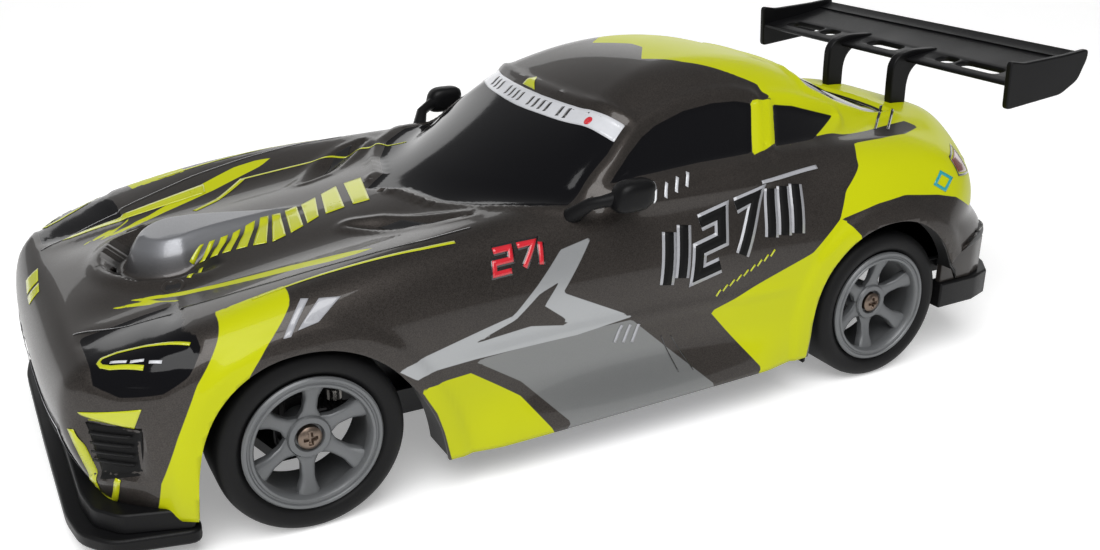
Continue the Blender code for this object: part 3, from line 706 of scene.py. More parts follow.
# %% Paint material
paint = Finish("shell_paint", Coat_Roughness=0.035, Coat_IOR=1.5, IOR=1.5, Specular_IOR_Level=0.12)
flake_cells = paint.node("ShaderNodeTexVoronoi", {"feature": "F1"},
                         {"Vector": paint.place(), "Scale": 1.0 / (0.16 * MM)})
flake = Wire(paint, paint.node("ShaderNodeSeparateColor", {}, {0: flake_cells.outputs["Color"]}).outputs[0])
cloud = paint.noise(30.0, 3.0)
body_colour = paint.mix((flake * 0.6 + cloud * 0.5).clamp(), tint(0.018, 0.0155, 0.014),
                        tint(0.062, 0.054, 0.049))
MASK_EDGE = 0.16
yellow_area = paint.attribute("yellow").above(0.0, MASK_EDGE)
silver_area = paint.attribute("silver").above(0.0, MASK_EDGE)
bright_area = paint.attribute("bright").above(0.0, MASK_EDGE)
glass_area = paint.attribute("glass").maths("MAXIMUM", paint.attribute("lamp")).above(0.0, MASK_EDGE)
dome_area = paint.attribute("dome").above(1.2, 3.0)
sunk_area = paint.attribute("sunk").above(0.9, 1.6)
speck = (flake - 0.5) * 0.10 + 0.5
silver_paint = paint.mix(speck.clamp(), tint(0.11, 0.115, 0.115), tint(0.27, 0.275, 0.275))
bright_paint = paint.mix(speck.clamp(), tint(0.27, 0.28, 0.29), tint(0.48, 0.49, 0.50))
yellow_paint = paint.mix(cloud, tint(0.44, 0.47, 0.0015), tint(0.50, 0.53, 0.003))
colour = paint.mix(dome_area, body_colour, tint(0.22, 0.225, 0.24))
colour = paint.mix(sunk_area * 0.85, colour, tint(0.006, 0.006, 0.006))
colour = paint.mix(silver_area, colour, silver_paint)
colour = paint.mix(bright_area, colour, bright_paint)
colour = paint.mix(yellow_area, colour, yellow_paint)
colour = paint.mix(glass_area, colour, tint(0.004, 0.004, 0.005))
solid = (yellow_area + glass_area + sunk_area * 0.7).clamp()
paint.drive(Base_Color=colour, Metallic=(1 - solid) * 0.62,
            Coat_Weight=0.42 - sunk_area * 0.2 - glass_area * 0.3 - yellow_area * 0.28,
            Roughness=0.42 - glass_area * 0.34 + (flake - 0.5) * (1 - solid) * 0.12)
paint.bump(paint.noise(260.0, 1.0) + flake * 0.04, 0.012 * MM)

backing = grained("shell_inner_face", (0.02, 0.02, 0.02), 0.5, 0.02, 0.8)

# %% Shell object
body_shell = build("painted_shell", [(point, cells)], (paint.material, backing), "shell")
for label, distance in painted.items():
    store = body_shell.data.attributes.new(label, "FLOAT", "POINT")
    store.data.foreach_set("value", distance.astype(np.float32))
bm = bmesh.new()
bm.from_mesh(body_shell.data)
bmesh.ops.delete(bm, geom=[v for v in bm.verts if not v.link_faces], context="VERTS")
bmesh.ops.remove_doubles(bm, verts=bm.verts, dist=0.02 * MM)
bmesh.ops.dissolve_degenerate(bm, edges=bm.edges, dist=0.005 * MM)
bmesh.ops.recalc_face_normals(bm, faces=bm.faces)
if sum(face.normal.z * face.calc_area() for face in bm.faces) < 0:
    bmesh.ops.reverse_faces(bm, faces=bm.faces)
bm.to_mesh(body_shell.data)
bm.free()
body_shell.data.shade_smooth()
wall = body_shell.modifiers.new("wall", "SOLIDIFY")
wall.thickness, wall.offset, wall.material_offset = 1.0 * MM, -1.0, 1
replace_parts(body_shell, "body_shell")
print("shell triangles", 4 * len(body_shell.data.polygons))

# %% [markdown]
# ## Stickers and thin lines
# Lights, grilles, louvres, the screen banner and the race number are stickers on the real shell. Each is a
# thin sheet laid on the surface: a four-cornered patch or a ribbon along a path is drawn flat, then every
# point of it is shot onto the shell. That keeps edges crisp where the shell's own grid is too coarse.

# %% Laying stickers
def patch(corners, spacing=1.0):
    """A four-cornered flat patch as a grid: straight lines between two opposite sides."""
    a, b, c, d = np.array(corners, float)
    rows = max(2, int(max(np.linalg.norm(b - a), np.linalg.norm(c - d)) / spacing) + 2)
    columns = max(2, int(max(np.linalg.norm(d - a), np.linalg.norm(c - b)) / spacing) + 2)
    s, t = np.linspace(0, 1, rows)[:, None, None], np.linspace(0, 1, columns)[None, :, None]
    return (1 - t) * ((1 - s) * a + s * b) + t * ((1 - s) * d + s * c)


def ribbon(path, width, spacing=0.8):
    """A flat strip along a path, mitred at its corners, with points every spacing."""
    corners = np.array(path, float)
    heading = np.diff(corners, axis=0)
    heading /= np.linalg.norm(heading, axis=1)[:, None]
    normal = heading[:, ::-1] * (-1, 1)
    joint = np.concatenate([normal[:1], normal[:-1] + normal[1:], normal[-1:]])
    joint /= np.linalg.norm(joint, axis=1)[:, None]
    lean = np.concatenate([[1.0], np.sum(joint[1:-1] * normal[1:], axis=1), [1.0]])
    joint = joint / np.maximum(lean, 0.5)[:, None]
    rows = [corners[:1]]
    sides = [joint[:1]]
    for i in range(len(corners) - 1):
        count = max(2, int(np.linalg.norm(corners[i + 1] - corners[i]) / spacing) + 1)
        t = np.linspace(0, 1, count)[1:, None]
        rows.append(corners[i] * (1 - t) + corners[i + 1] * t)
        sides.append(joint[i] * (1 - t) + joint[i + 1] * t)
    middle, across_way = np.concatenate(rows), np.concatenate(sides)
    step = np.array([-0.5, 0.0, 0.5])[None, :, None] * width
    return middle[:, None] + across_way[:, None] * step


def lay(shapes, land, proud):
    """Grids drawn flat, landed on the shell and turned to face outward."""
    parts = []
    for flat in shapes:
        points = land(flat, proud)
        cross = np.cross(points[1:, :-1] - points[:-1, :-1], points[:-1, 1:] - points[:-1, :-1])
        outwards = surface_normal(points[:-1, :-1])
        faces = grid_faces(*points.shape[:2])
        parts.append((points, faces[:, ::-1] if (cross * outwards).sum() > 0 else faces))
    return parts


def flank_land(side, flat, proud):
    """on_flank for lay, with the side fixed first."""
    return on_flank(flat, side, proud)


def both_sides(shapes, proud):
    """The same side-view shapes on the left and right flank."""
    return [part for side in (1, -1) for part in lay(shapes, partial(flank_land, side), proud)]


def both_tops(shapes, proud):
    """Plan-view shapes and their mirror images."""
    return lay(shapes + [flat * (1, -1) for flat in shapes], on_top, proud)


def vinyl(name, colour, roughness=0.3):
    """Printed film: nearly even colour, a soft sheen and a slight ripple."""
    return grained(name, colour, roughness, 0.012, 1.6, 0.08, Coat_Weight=0.6, Coat_Roughness=0.06)


film_yellow = vinyl("yellow_film", (0.47, 0.50, 0.002))
film_white = vinyl("pale_film", (0.58, 0.59, 0.62))
film_silver = vinyl("silver_film", (0.34, 0.345, 0.37))
grille_black = grained("matt_black_film", (0.003, 0.003, 0.0033), 0.6, 0.01, 1.2, 0.1,
                       Specular_IOR_Level=0.15)
film_black = vinyl("black_film", (0.008, 0.008, 0.009), 0.22)
film_red = vinyl("red_film", (0.55, 0.010, 0.022))
film_teal = vinyl("teal_film", (0.012, 0.30, 0.33))
lamp_red = vinyl("tail_lamp_film", (0.16, 0.028, 0.022), 0.15)
shell_brown = grained("brown_shell", (0.030, 0.026, 0.0235), 0.38, 0.01, 1.4, 0.12, Coat_Weight=0.4,
                       Coat_Roughness=0.05, Specular_IOR_Level=0.12)
FILM = 0.05


def sticker(name, parts, finish):
    """A laid sheet as one object, with the film's own thickness."""
    made = build(name, parts, finish, "shell")
    film = made.modifiers.new("film", "SOLIDIFY")
    film.thickness, film.offset = FILM * MM, 0.0
    return made


# %% Lamps and grilles
LAMP_OUTLINE = [(119.0, 56.7), (123.4, 53.6), (127.4, 50.7), (132.6, 48.0), (135.8, 47.3), (136.7, 48.2),
                (136.4, 49.8), (134.9, 51.7), (131.8, 54.2), (128.9, 56.5)]
sticker("headlamp_outlines", both_tops([ribbon(LAMP_OUTLINE, 0.8, 0.5)], 0.10), film_yellow)
dashes = [ribbon([(134.6, 50.5), (131.6, 53.1)], 0.6), ribbon([(131.0, 53.7), (128.4, 55.2)], 0.6),
          ribbon([(127.6, 56.2), (125.2, 57.6)], 0.6)]
sticker("headlamp_dashes", both_tops(dashes, 0.10), film_white)
trap = [patch([(141.8, 36.0), (130.3, 38.0), (132.1, 33.4), (140.9, 33.7)], 0.6)]
v_strip = [ribbon([(143.6, 31.5), (141.3, 20.9), (139.7, 12.6), (137.2, 12.2), (136.4, 19.6)], 1.1)]
sticker("bumper_blades", both_sides(trap + v_strip, 0.10), film_yellow)
bars = [ribbon([(141.0, z), (133.2, z - 0.2)], 0.7) for z in (30.8, 28.4, 26.0, 23.6)]
sticker("grille_louvres", both_sides(bars, 0.55), trim_black)
lower = [patch([(130.9, 33.0), (141.4, 33.2), (139.6, 18.8), (132.0, 21.0)], 0.7)]
sticker("side_grilles", both_sides(lower, 0.08), grille_black)
tail_lamp = [patch([(-100.4, 60.4), (-107.8, 61.2), (-109.2, 55.6), (-101.2, 57.2)], 0.7)]
sticker("tail_lamps", both_sides(tail_lamp, 0.10), lamp_red)
tail_edge = [ribbon([(-99.8, 61.0), (-108.2, 61.9), (-109.9, 55.0), (-100.6, 56.6), (-99.8, 61.0)], 0.5)]
sticker("tail_lamp_rims", both_sides(tail_edge, 0.12), film_black)


def on_front(flat, proud):
    """Points of the nose at (y, z) pairs."""
    start = np.stack([np.full(flat.shape[:-1], 60.0), flat[..., 0], flat[..., 1]], axis=-1)
    return finished(shoot(start, np.array([1.0, 0.0, 0.0])), proud)


def on_back(flat, proud):
    """Points of the tail at (y, z) pairs."""
    start = np.stack([np.full(flat.shape[:-1], -60.0), flat[..., 0], flat[..., 1]], axis=-1)
    return finished(shoot(start, np.array([-1.0, 0.0, 0.0])), proud)


mouth = patch([(-40, 28), (40, 28), (36, 12.5), (-36, 12.5)], 1.2)
sticker("front_mouth", lay([mouth], on_front, 0.08), grille_black)
ribs = [ribbon([(-39, z), (39, z)], 0.7) for z in (14.5, 17.0, 19.5, 22.0, 24.5, 27.0)]
ribs += [ribbon([(y, 28.5), (y * 0.9, 12.5)], 0.7) for y in (-30, -20, -10, 0, 10, 20, 30)]
sticker("front_mouth_mesh", lay(ribs, on_front, 0.5), trim_black)
frame_line = [ribbon([(-40, 28.8), (40, 28.8), (36, 12), (-36, 12), (-40, 28.8)], 0.9)]
sticker("front_mouth_rim", lay(frame_line, on_front, 0.35), film_silver)
back_panel = [patch([(-30, 50), (30, 50), (26, 39), (-26, 39)], 1.2)]
sticker("rear_plate_recess", lay(back_panel, on_back, 0.08), grille_black)
back_lines = [ribbon([(-44, 56), (44, 56)], 0.8),
              ribbon([(-31, 51), (31, 51), (27, 38.2), (-27, 38.2), (-31, 51)], 0.6)]
sticker("rear_lines", lay(back_lines, on_back, 0.12), film_silver)

# %% [markdown]
# The race number stands where a driver's start number goes. It is two ribbons on the same path: a broad
# pale one and a narrower dark one over it, which leaves an even outline. Slanted bars fill the rest.

# %% Race number and bars
DIGITS = {"2": [(0, 1), (1, 1), (1, 0.5), (0, 0.5), (0, 0), (1, 0)], "7": [(0, 1), (1, 1), (0.35, 0)]}


def number_paths(text, corner, size, step, slope):
    """Paths of a number on the side view: corner is its lower front end, slope how much it climbs."""
    paths = []
    for place_in, digit in enumerate(text):
        glyph = np.array(DIGITS[digit]) * size
        shift = place_in * step
        x = corner[0] - shift - glyph[:, 0] - 0.16 * glyph[:, 1]
        paths.append(np.stack([x, corner[1] + glyph[:, 1] + slope * (shift + glyph[:, 0])], axis=-1))
    return paths


def slanted(corner, count, size, step, slope):
    """Upright bars that lean like the number beside them."""
    made = []
    for i in range(count):
        foot = np.array([corner[0] - i * step, corner[1] + slope * i * step])
        made.append(np.stack([foot, foot + (-0.16 * size, size)]))
    return made


SIDES = ((1, "left"), (-1, "right"))
for side, label in SIDES:
    number = [path if side > 0 else np.stack([-38.5 - path[:, 0], path[:, 1] + 0.24 * (path[:, 0] + 19)], -1)
              for path in number_paths("27", (-9.0, 42.4), (7.0, 13.0), 11.5, 0.24)]
    rails = slanted((0.4, 41.4), 2, 13.0, 4.6, 0.24) + slanted((-32.5, 49.0), 3, 12.0, 4.2, 0.0)
    land = partial(flank_land, side)
    sticker(f"door_number_edge_{label}", lay([ribbon(p, 4.3) for p in number + rails], land, 0.08),
            film_silver)
    sticker(f"door_number_core_{label}", lay([ribbon(p, 2.6) for p in number + rails], land, 0.15),
            grille_black)

small = number_paths("27", (48.5, 52.6), (4.6, 4.8), 6.6, 0.02)
small_bars = slanted((35.6, 52.6), 1, 4.8, 3.0, 0.02)
for side, label in SIDES:
    marks = [path if side > 0 else (84.6, 0) + path * (-1, 1) for path in small + small_bars]
    land = partial(flank_land, side)
    sticker(f"wing_number_edges_{label}", lay([ribbon(p, 2.0) for p in marks], land, 0.08), film_black)
    sticker(f"wing_numbers_{label}", lay([ribbon(p, 1.2) for p in marks], land, 0.14), film_red)

white_ticks = [ribbon([(9.5 - 3.6 * i, 60.9 + 0.75 * i), (7.9 - 3.6 * i, 63.6 + 0.75 * i)], 0.8)
               for i in range(6)]
sticker("door_top_ticks", both_sides(white_ticks, 0.08), film_white)
sticker("belt_bars", both_sides([ribbon([(-31.5, 63.0), (-52, 64.0)], 0.8)], 0.08), film_silver)
fine_ticks = [ribbon([(-15 - 2.1 * i, 35.6 + 1.06 * i), (-16.4 - 2.1 * i, 37.2 + 1.06 * i)], 0.5)
              for i in range(9)]
sticker("door_fine_ticks", both_sides(fine_ticks, 0.08), film_yellow)
lines = [ribbon([(1.5, 27.6), (-3.0, 17.0)], 0.3), ribbon([(-1.5, 27.0), (-7.6, 16.6)], 0.3)]
bars_low = [ribbon([(15.5 - 2.6 * i, 28.4 - 0.5 * i), (13.6 - 2.6 * i, 33.0 - 0.4 * i)], 0.9)
            for i in range(3)]
sticker("sill_bars", both_sides(bars_low, 0.08), film_silver)
sticker("sill_lines", both_sides(lines, 0.08), film_black)
diamond = [ribbon([(-89.4, 56.0), (-92.8, 58.6), (-96.4, 56.6), (-92.8, 54.0), (-89.4, 56.0), (-91, 57.3)],
                  0.9)]
sticker("quarter_diamonds", both_sides(diamond, 0.10), film_teal)


def on_shoulder(side, flat, proud):
    """Points of the fender's shoulder, seen along the diagonal, at (x, height minus distance out) pairs."""
    start = np.stack([flat[..., 0], np.full(flat.shape[:-1], side * 20.0), flat[..., 1] + 20.0], axis=-1)
    return finished(shoot(start, np.array([0.0, side * DIAGONAL, DIAGONAL])), proud)


DIAGONAL = 0.7071
slashes = [patch([(100.8, -12.4), (94.8, -1.0), (93.2, -1.6), (99.1, -12.3)], 0.7),
           patch([(97.4, -11.0), (91.1, -2.3), (86.4, -3.2), (92.5, -9.7)], 0.7)]
for side, label in SIDES:
    sticker(f"fender_slashes_{label}", lay(slashes, partial(on_shoulder, side), 0.10), film_silver)

# %% Banner, bonnet bars and shut lines
banner_top = [(8.9, 0), (8.7, 8), (7.6, 20), (6.2, 27), (3.9, 33), (1.4, 37.0)]
banner_low = [(14.4, 0), (14.0, 8), (12.6, 20), (10.8, 28), (8.4, 35), (6.0, 39.3)]
count = 40
rows = [np.stack([through(np.linspace(0, 1, count), list(zip(np.linspace(0, 1, 6), np.array(edge)[:, axis])))
                  for axis in (0, 1)], axis=-1) for edge in (banner_top, banner_low)]
share = np.linspace(0, 1, 7)[None, :, None]
banner = rows[0][:, None] * (1 - share) + rows[1][:, None] * share
banner = np.concatenate([(banner * (1, -1))[:0:-1], banner])
sticker("screen_banner", lay([banner], on_top, 0.10), film_white)
hash_bars = []
for i, y in enumerate((-24, -21, -18, -12, -9, -6, -3, 3, 6, 9, 12, 18, 21)):
    at = np.interp(abs(y), (0, 8, 20, 27.5), (11.6, 11.3, 10.1, 8.5))
    hash_bars.append(ribbon([(at - 1.5, y - 0.9), (at + 1.5, y + 0.5)], 1.1))
sticker("banner_bars", lay(hash_bars, on_top, 0.18), film_black)
angle = np.linspace(0, 2 * math.pi, 25)[:, None, None]
disc = np.array([8.5, 29.8]) + np.linspace(0.05, 1.15, 4)[None, :, None] * np.concatenate(
    [np.cos(angle), np.sin(angle)], axis=-1)
sticker("banner_dot", lay([disc], on_top, 0.18), film_red)
roof_mark = [patch([(8.2, -7.6), (4.4, -6.2), (4.8, -5.4), (8.5, 0.2)], 0.8)]
sticker("roof_mark", lay(roof_mark, on_top, 0.10), film_yellow)

LOW_EDGE = [(109.1, 11.4), (102.5, 14.6), (96.1, 15.1), (89.6, 16.8), (82.5, 14.3), (76.2, 10.4), (66.7, 8.9),
            (59.6, 9.2)]
HIGH_EDGE = [(105.8, 9.3), (96.6, 6.7), (88.6, 2.9), (83.4, 2.0), (75.8, -1.4), (64.9, -7.8), (55.2, -9.4)]


def along_edge(edge, share):
    """The point a share of the way along a line of corners, each corner counting the same."""
    edge = np.array(edge)
    where = share * (len(edge) - 1)
    return [np.interp(where, np.arange(len(edge)), edge[:, axis]) for axis in (0, 1)]


bonnet_bars = []
for start, width in ((0.0, 0.02), (0.045, 0.028), (0.10, 0.036), (0.16, 0.045), (0.235, 0.06), (0.325, 0.07),
                     (0.425, 0.075), (0.53, 0.08), (0.64, 0.08), (0.75, 0.08), (0.87, 0.09)):
    bonnet_bars.append(patch([along_edge(LOW_EDGE, start), along_edge(LOW_EDGE, start + width),
                              along_edge(HIGH_EDGE, start + width), along_edge(HIGH_EDGE, start)]))
sticker("bonnet_bars", lay(bonnet_bars, on_top, 0.10), film_yellow)
vent_mouths = [patch([(65.0, 23.4), (59.0, 25.6), (49.8, 38.0), (55.4, 35.6)], 0.8)]
sticker("bonnet_vent_mouths", both_tops(vent_mouths, 0.08), film_black)
slash = [ribbon([(111.6, 22.4), (107.1, 15.2)], 1.0), ribbon([(100, -23.6), (92.9, -27.2)], 1.6),
         ribbon([(92.9, -27.2), (83.6, -35.2)], 1.4),
         ribbon([(83.6, -35.2), (57, -34.2), (35.4, -31.0)], 0.6),
         patch([(133.4, -32.2), (131.0, -34.0), (94.0, -38.4), (94.6, -33.6)])]
sticker("bonnet_slashes", lay(slash, on_top, 0.10), film_yellow)
nose_bars = [patch([(141.0, -19.5), (144.2, -20.5), (144.8, -12.5), (141.8, -12.2)], 0.8),
             patch([(141.9, -10.6), (144.9, -10.9), (145.0, -6.0), (142.3, -5.8)], 0.8)]
sticker("nose_marks", lay(nose_bars, on_top, 0.10), film_yellow)
crease = [ribbon([(104, 50.6), (92, 50.6), (78, 50.9), (64, 51.2), (56, 51.0)], 0.8)]
sticker("crease_lines", both_tops(crease, 0.08), film_yellow)
shut = [ribbon([(139, 30), (128, 35.5), (112, 40.6), (96, 44.6), (80, 46.8), (62, 47.9), (50, 47.0)], 0.55)]
sticker("bonnet_shut_lines", both_tops(shut, 0.06), film_black)
stripe = [ribbon([(-84, 38.4), (-103, 20.4)], 0.8), ribbon([(-88, 39.4), (-105.4, 23.2)], 0.8)]
sticker("deck_stripes", both_tops(stripe, 0.08), film_black)

# %% [markdown]
# ## Pin holes and arch liners, dark with painted shade
# The body posts come up through two small holes in the bonnet, each with a raised rim. Behind every arch
# edge a narrow black liner turns inward; its black is painted shade standing in for the dark wheel well,
# which is why the openings look deep. The liner is deeper behind a front wheel than ahead of it, where the
# steered tyre swings past.

# %% Pin holes and liners, with painted shade
def on_shell_ring(centre, profile, sides):
    """A turned profile (radius, height) stood on the shell at a plan position."""
    base = on_top(np.array([centre]), 0.0)[0]
    up = surface_normal(base[None])[0]
    points, faces = lathe(profile, sides)
    across_x = np.cross((0, 1, 0), up)
    across_x /= np.linalg.norm(across_x)
    across_y = np.cross(up, across_x)
    return base + points[..., :1] * across_x + points[..., 2:] * across_y + points[..., 1:2] * up, faces


rim_profile = [(1.7, -0.5), (2.9, -0.5), (2.8, 0.15), (2.45, 0.38), (2.0, 0.3), (1.7, 0.0)]
PIN_PLACES = ((115.5, 23.2), (115.5, -23.2))
holes = [on_shell_ring(place, rim_profile, 32) for place in PIN_PLACES]
build("pin_hole_rims", holes, shell_brown, "shell", outward=True)
# A black disc fills each hole: painted shade, the dark seen down through the opening.
plug = [(0.02, -0.4), (1.75, -0.4), (1.75, 0.06), (0.02, 0.02)]
build("pin_hole_shade_discs", [on_shell_ring(place, plug, 24) for place in PIN_PLACES], film_black, "shell",
      outward=True)

for label, opening, axle in (("front", FRONT_ARCH, FRONT_X), ("rear", REAR_ARCH, REAR_X)):
    curve = dense(opening, 1.0)
    curve = curve[(curve[:, 1] > 9.5) & (curve[:, 1] > np.where(curve[:, 0] < -92, 30.0, 0.0))]
    parts = []
    for side in (1, -1):
        rim = on_flank(curve, side)
        behind = axle - curve[:, 0]
        base_depth = 1.3 + 3.7 * ramp(behind, 13, 19) if label == "front" else 5.0
        depth = base_depth + 6.5 * ramp(-curve[:, 1], -34, -22) * ramp(behind, 14, 22)
        outer = rim - np.stack([0 * depth, side * (0.9 + 0 * depth), 0 * depth], -1)
        inner = rim - np.stack([0 * depth, side * depth, 0 * depth], -1)
        away = np.stack([curve[:, 0] - axle, 0 * depth, curve[:, 1] - AXLE_Z], -1)
        away /= np.linalg.norm(away, axis=1)[:, None]
        ring = np.stack([outer, inner, inner + away * 0.7, outer + away * 0.7], axis=1)
        faces = [tuple(f) for f in grid_faces(len(curve), 4, False, True)]
        end = 4 * (len(curve) - 1)
        parts.append((ring, faces + [(0, 1, 2, 3), (end + 3, end + 2, end + 1, end)]))
    # Near-black moulding as painted shade: it stands in for the shade inside the wheel well.
    build(f"arch_shade_liners_{label}", parts, trim_black, "shell", outward=True)
print("liners done")

# %% [markdown]
# ## Splitter, diffuser, wing and mirrors
# These are separate satin black mouldings. Flat ones are outlines with rounded corners, swept to their
# thickness and bevelled. The blade is a wing section carried across the car, with slots cut through it.

# %% Splitter and diffuser
def moulding(name, parts, width=None, segments=2):
    """A satin black moulding that rides on the shell, with softened edges."""
    made = build(name, parts, trim_black, "shell", outward=True)
    return soften(made, width, segments) if width else made


def mirrored_plan(half):
    """A plan outline closed with the mirror image of its half."""
    return half + [(x, -y) for x, y in reversed(half[1:-1])]


half_plan = [(147.4, 0), (147.2, 40), (145.6, 49.5), (140, 56.5), (121.5, 60.6), (120.6, 54), (128, 48),
             (139, 42), (140, 0)]
splitter_plate = plate(rounded(mirrored_plan(half_plan), 3.0), "z", 4.0, 7.4)
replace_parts(moulding("front_splitter_moulding", [splitter_plate], 0.7, 3), "front_splitter")
step_plan = [(143.8, 0), (143.6, 40), (142.2, 48.6), (137.4, 54.6), (122.6, 59.2), (122.0, 56.6), (131, 50),
             (140, 40), (140.2, 0)]
moulding("splitter_upstand", [plate(rounded(mirrored_plan(step_plan), 2.0), "z", 7.2, 12.2)], 0.5)


def wrapped(outer, inner, low, high):
    """A strip that follows the tail round both corners, from its outer and inner half outlines."""
    outside = outer + [(x, -y) for x, y in reversed(outer[:-1])]
    within = inner + [(x, -y) for x, y in reversed(inner[:-1])]
    return plate(outside + within[::-1], "z", low, high)


SKIRT_OUT = [(-97, 58.6), (-109, 58.2), (-115.6, 55.8), (-120.2, 50.4), (-123.4, 42.6), (-127.4, 30),
             (-129.4, 0)]
SKIRT_IN = [(-97, 56.6), (-109, 56.2), (-115, 53.8), (-119.0, 49), (-122.2, 41.4), (-125.8, 29),
            (-127.4, 0)]
soften(build("rear_skirt", [wrapped(SKIRT_OUT, SKIRT_IN, 24.2, 35.5)], shell_brown, "shell",
             outward=True), 0.3)
LIP_OUT = [(-96.4, 59.9), (-110.6, 59.5), (-118.2, 57.0), (-123.2, 51), (-126.6, 43), (-130.2, 30),
           (-131.8, 0)]
LIP_IN = [(-96.4, 55), (-108.4, 54.6), (-113.6, 52), (-117.0, 47.4), (-120.2, 40), (-123.8, 28),
          (-125.4, 0)]
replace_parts(moulding("rear_valance", [wrapped(LIP_OUT, LIP_IN, 16.6, 24.4)], 0.6, 3), "rear_diffuser")
fins = [plate([(-108, 15.0), (-124, 15.0), (-126.5, 17), (-125, 24), (-108, 28)], "y", y - 0.7, y + 0.7)
        for y in (-33, -20, -7, 7, 20, 33)]
floor_plan = [(-103, 41), (-103, -41), (-119, -41), (-124, -28), (-126, 0), (-124, 28), (-119, 41)]
fins.append(plate(floor_plan, "z", 23.0, 24.4))
moulding("diffuser_fins", fins, 0.25)


# %% Wing
def wing_section(count=15):
    """Upper then lower side of the blade as (x, z): a thin cambered curve, turned up at its trailing edge."""
    t = (1 - np.cos(np.linspace(0, math.pi, count))) / 2
    x = -115.5 - 30.5 * t
    camber = 81.6 + 3.6 * t + 2.0 * t ** 3
    thick = 0.9 * np.sqrt(np.clip(t, 0, 1)) * (1 - t) + 0.5
    thick[0] = 0.35
    upper = np.stack([x, camber + thick * 0.9], 1)
    lower = np.stack([x, camber - thick * 1.1], 1)
    return np.concatenate([upper, lower[::-1]])


BLADE_HALF = 55.4
blade = moulding("wing_blade_moulding", [plate(wing_section(), "y", -BLADE_HALF, BLADE_HALF)])
OPENINGS = ((-48.5, -32), (-30.5, -23.5), (-7, 7), (23.5, 30.5), (32, 48.5))
slot_parts = [plate(rounded([(-119.2, a), (-125.0, a), (-125.0, b), (-119.2, b)], 2.4), "z", 74, 96)
              for a, b in OPENINGS]
cutter = moulding("slot_cutter", slot_parts)
cut = blade.modifiers.new("slots", "BOOLEAN")
cut.operation, cut.object, cut.solver = "DIFFERENCE", cutter, "EXACT"
bpy.context.view_layer.update()
cut_mesh = bpy.data.meshes.new_from_object(blade.evaluated_get(bpy.context.evaluated_depsgraph_get()))
blade.modifiers.remove(cut)
blade.data = cut_mesh
bpy.data.objects.remove(cutter, do_unlink=True)
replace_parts(soften(blade, 0.25), "wing_blade")

t = np.linspace(0, 1, 6)
flap = np.stack([-141.0 - 5.2 * t, 86.0 + 1.6 * t ** 1.4], 1)
flap = np.concatenate([flap, flap[::-1] + (0.25, 0.8)])
moulding("wing_flap_lip", [plate(flap, "y", -55.2, 55.2)], 0.2)
END_OUTLINE = [(-115.6, 74.2), (-114.8, 88.4), (-121, 87.4), (-138, 88.4), (-147.2, 89.4), (-147.2, 86.5),
               (-144.4, 80.2), (-138, 76.6)]
STRUT_OUTLINE = [(-110.8, 66.5), (-117.2, 66.0), (-117.0, 74), (-117.8, 77.4), (-120.2, 80.0), (-124.5, 81.4),
                 (-129, 82.2), (-129, 84.4), (-118, 84.6), (-112.4, 83.2), (-110.4, 80.4), (-110.4, 74)]
for side, label in SIDES:
    low, high = sorted((side * 55.5, side * 57.5))
    end = moulding(f"wing_endplate_moulding_{label}", [plate(rounded(END_OUTLINE, 1.6), "y", low, high)],
                   0.45, 3)
    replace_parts(end, f"wing_endplate_{label}")
    low, high = sorted((side * 13.4, side * 16.4))
    strut = moulding(f"wing_strut_moulding_{label}", [plate(rounded(STRUT_OUTLINE, 2.6), "y", low, high)],
                     0.5, 3)
    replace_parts(strut, f"wing_strut_{label}")


# %% Mirrors
def soft_power(value, power):
    """A power that keeps the sign: below 1 it makes round shapes boxier."""
    return np.sign(value) * np.abs(value) ** power


def egg(centre, radii, power, rows=20, columns=32):
    """A rounded box: each coordinate is a signed power of the sphere's own sine and cosine."""
    v = np.linspace(-math.pi / 2, math.pi / 2, rows + 1)[:, None]
    u = np.linspace(0, 2 * math.pi, columns, endpoint=False)[None, :]
    ring = soft_power(np.cos(v), power)
    points = np.stack([ring * soft_power(np.cos(u), power) * radii[0],
                       ring * soft_power(np.sin(u), power) * radii[1],
                       soft_power(np.sin(v), power) * radii[2] + 0 * u], axis=-1) + centre
    return points, grid_faces(rows + 1, columns, False, True)


for side, label in SIDES:
    cup, cup_faces = egg((11.6, side * 57.6, 67.0), (5.4, 3.4, 3.9), 0.6)
    cup[..., 0] += (cup[..., 2] - 67.0) * -0.25
    glass, glass_faces = egg((6.6, side * 57.6, 67.3), (0.5, 2.7, 3.0), 0.6, 8, 24)
    foot = on_top(np.array([[24.0, side * 49.0]]), -0.8)[0]
    path = [(15.5, side * 56.6, 66.4), (18.5, side * 55.0, 65.6), (21, side * 53.2, 64.8), tuple(foot)]
    housing = [(cup, cup_faces), tube(path, [1.9, 1.5, 1.6, 2.2], 14)]
    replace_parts(moulding(f"mirror_housing_{label}", housing), f"mirror_{label}")
    build(f"mirror_glass_{label}", [(glass, glass_faces)], mirror_glass, "shell", outward=True)
print("trim done")

# %% [markdown]
# ## Wheels
# The wheel is a plastic casting: a stepped lip, a barrel, and six spokes that flare into hub and barrel and
# lie back towards the hub, so the wheel looks dished. The tyre is hard and slick with rounded shoulders.
# The screw in the middle has a cross recess, which is a height added to a disc.

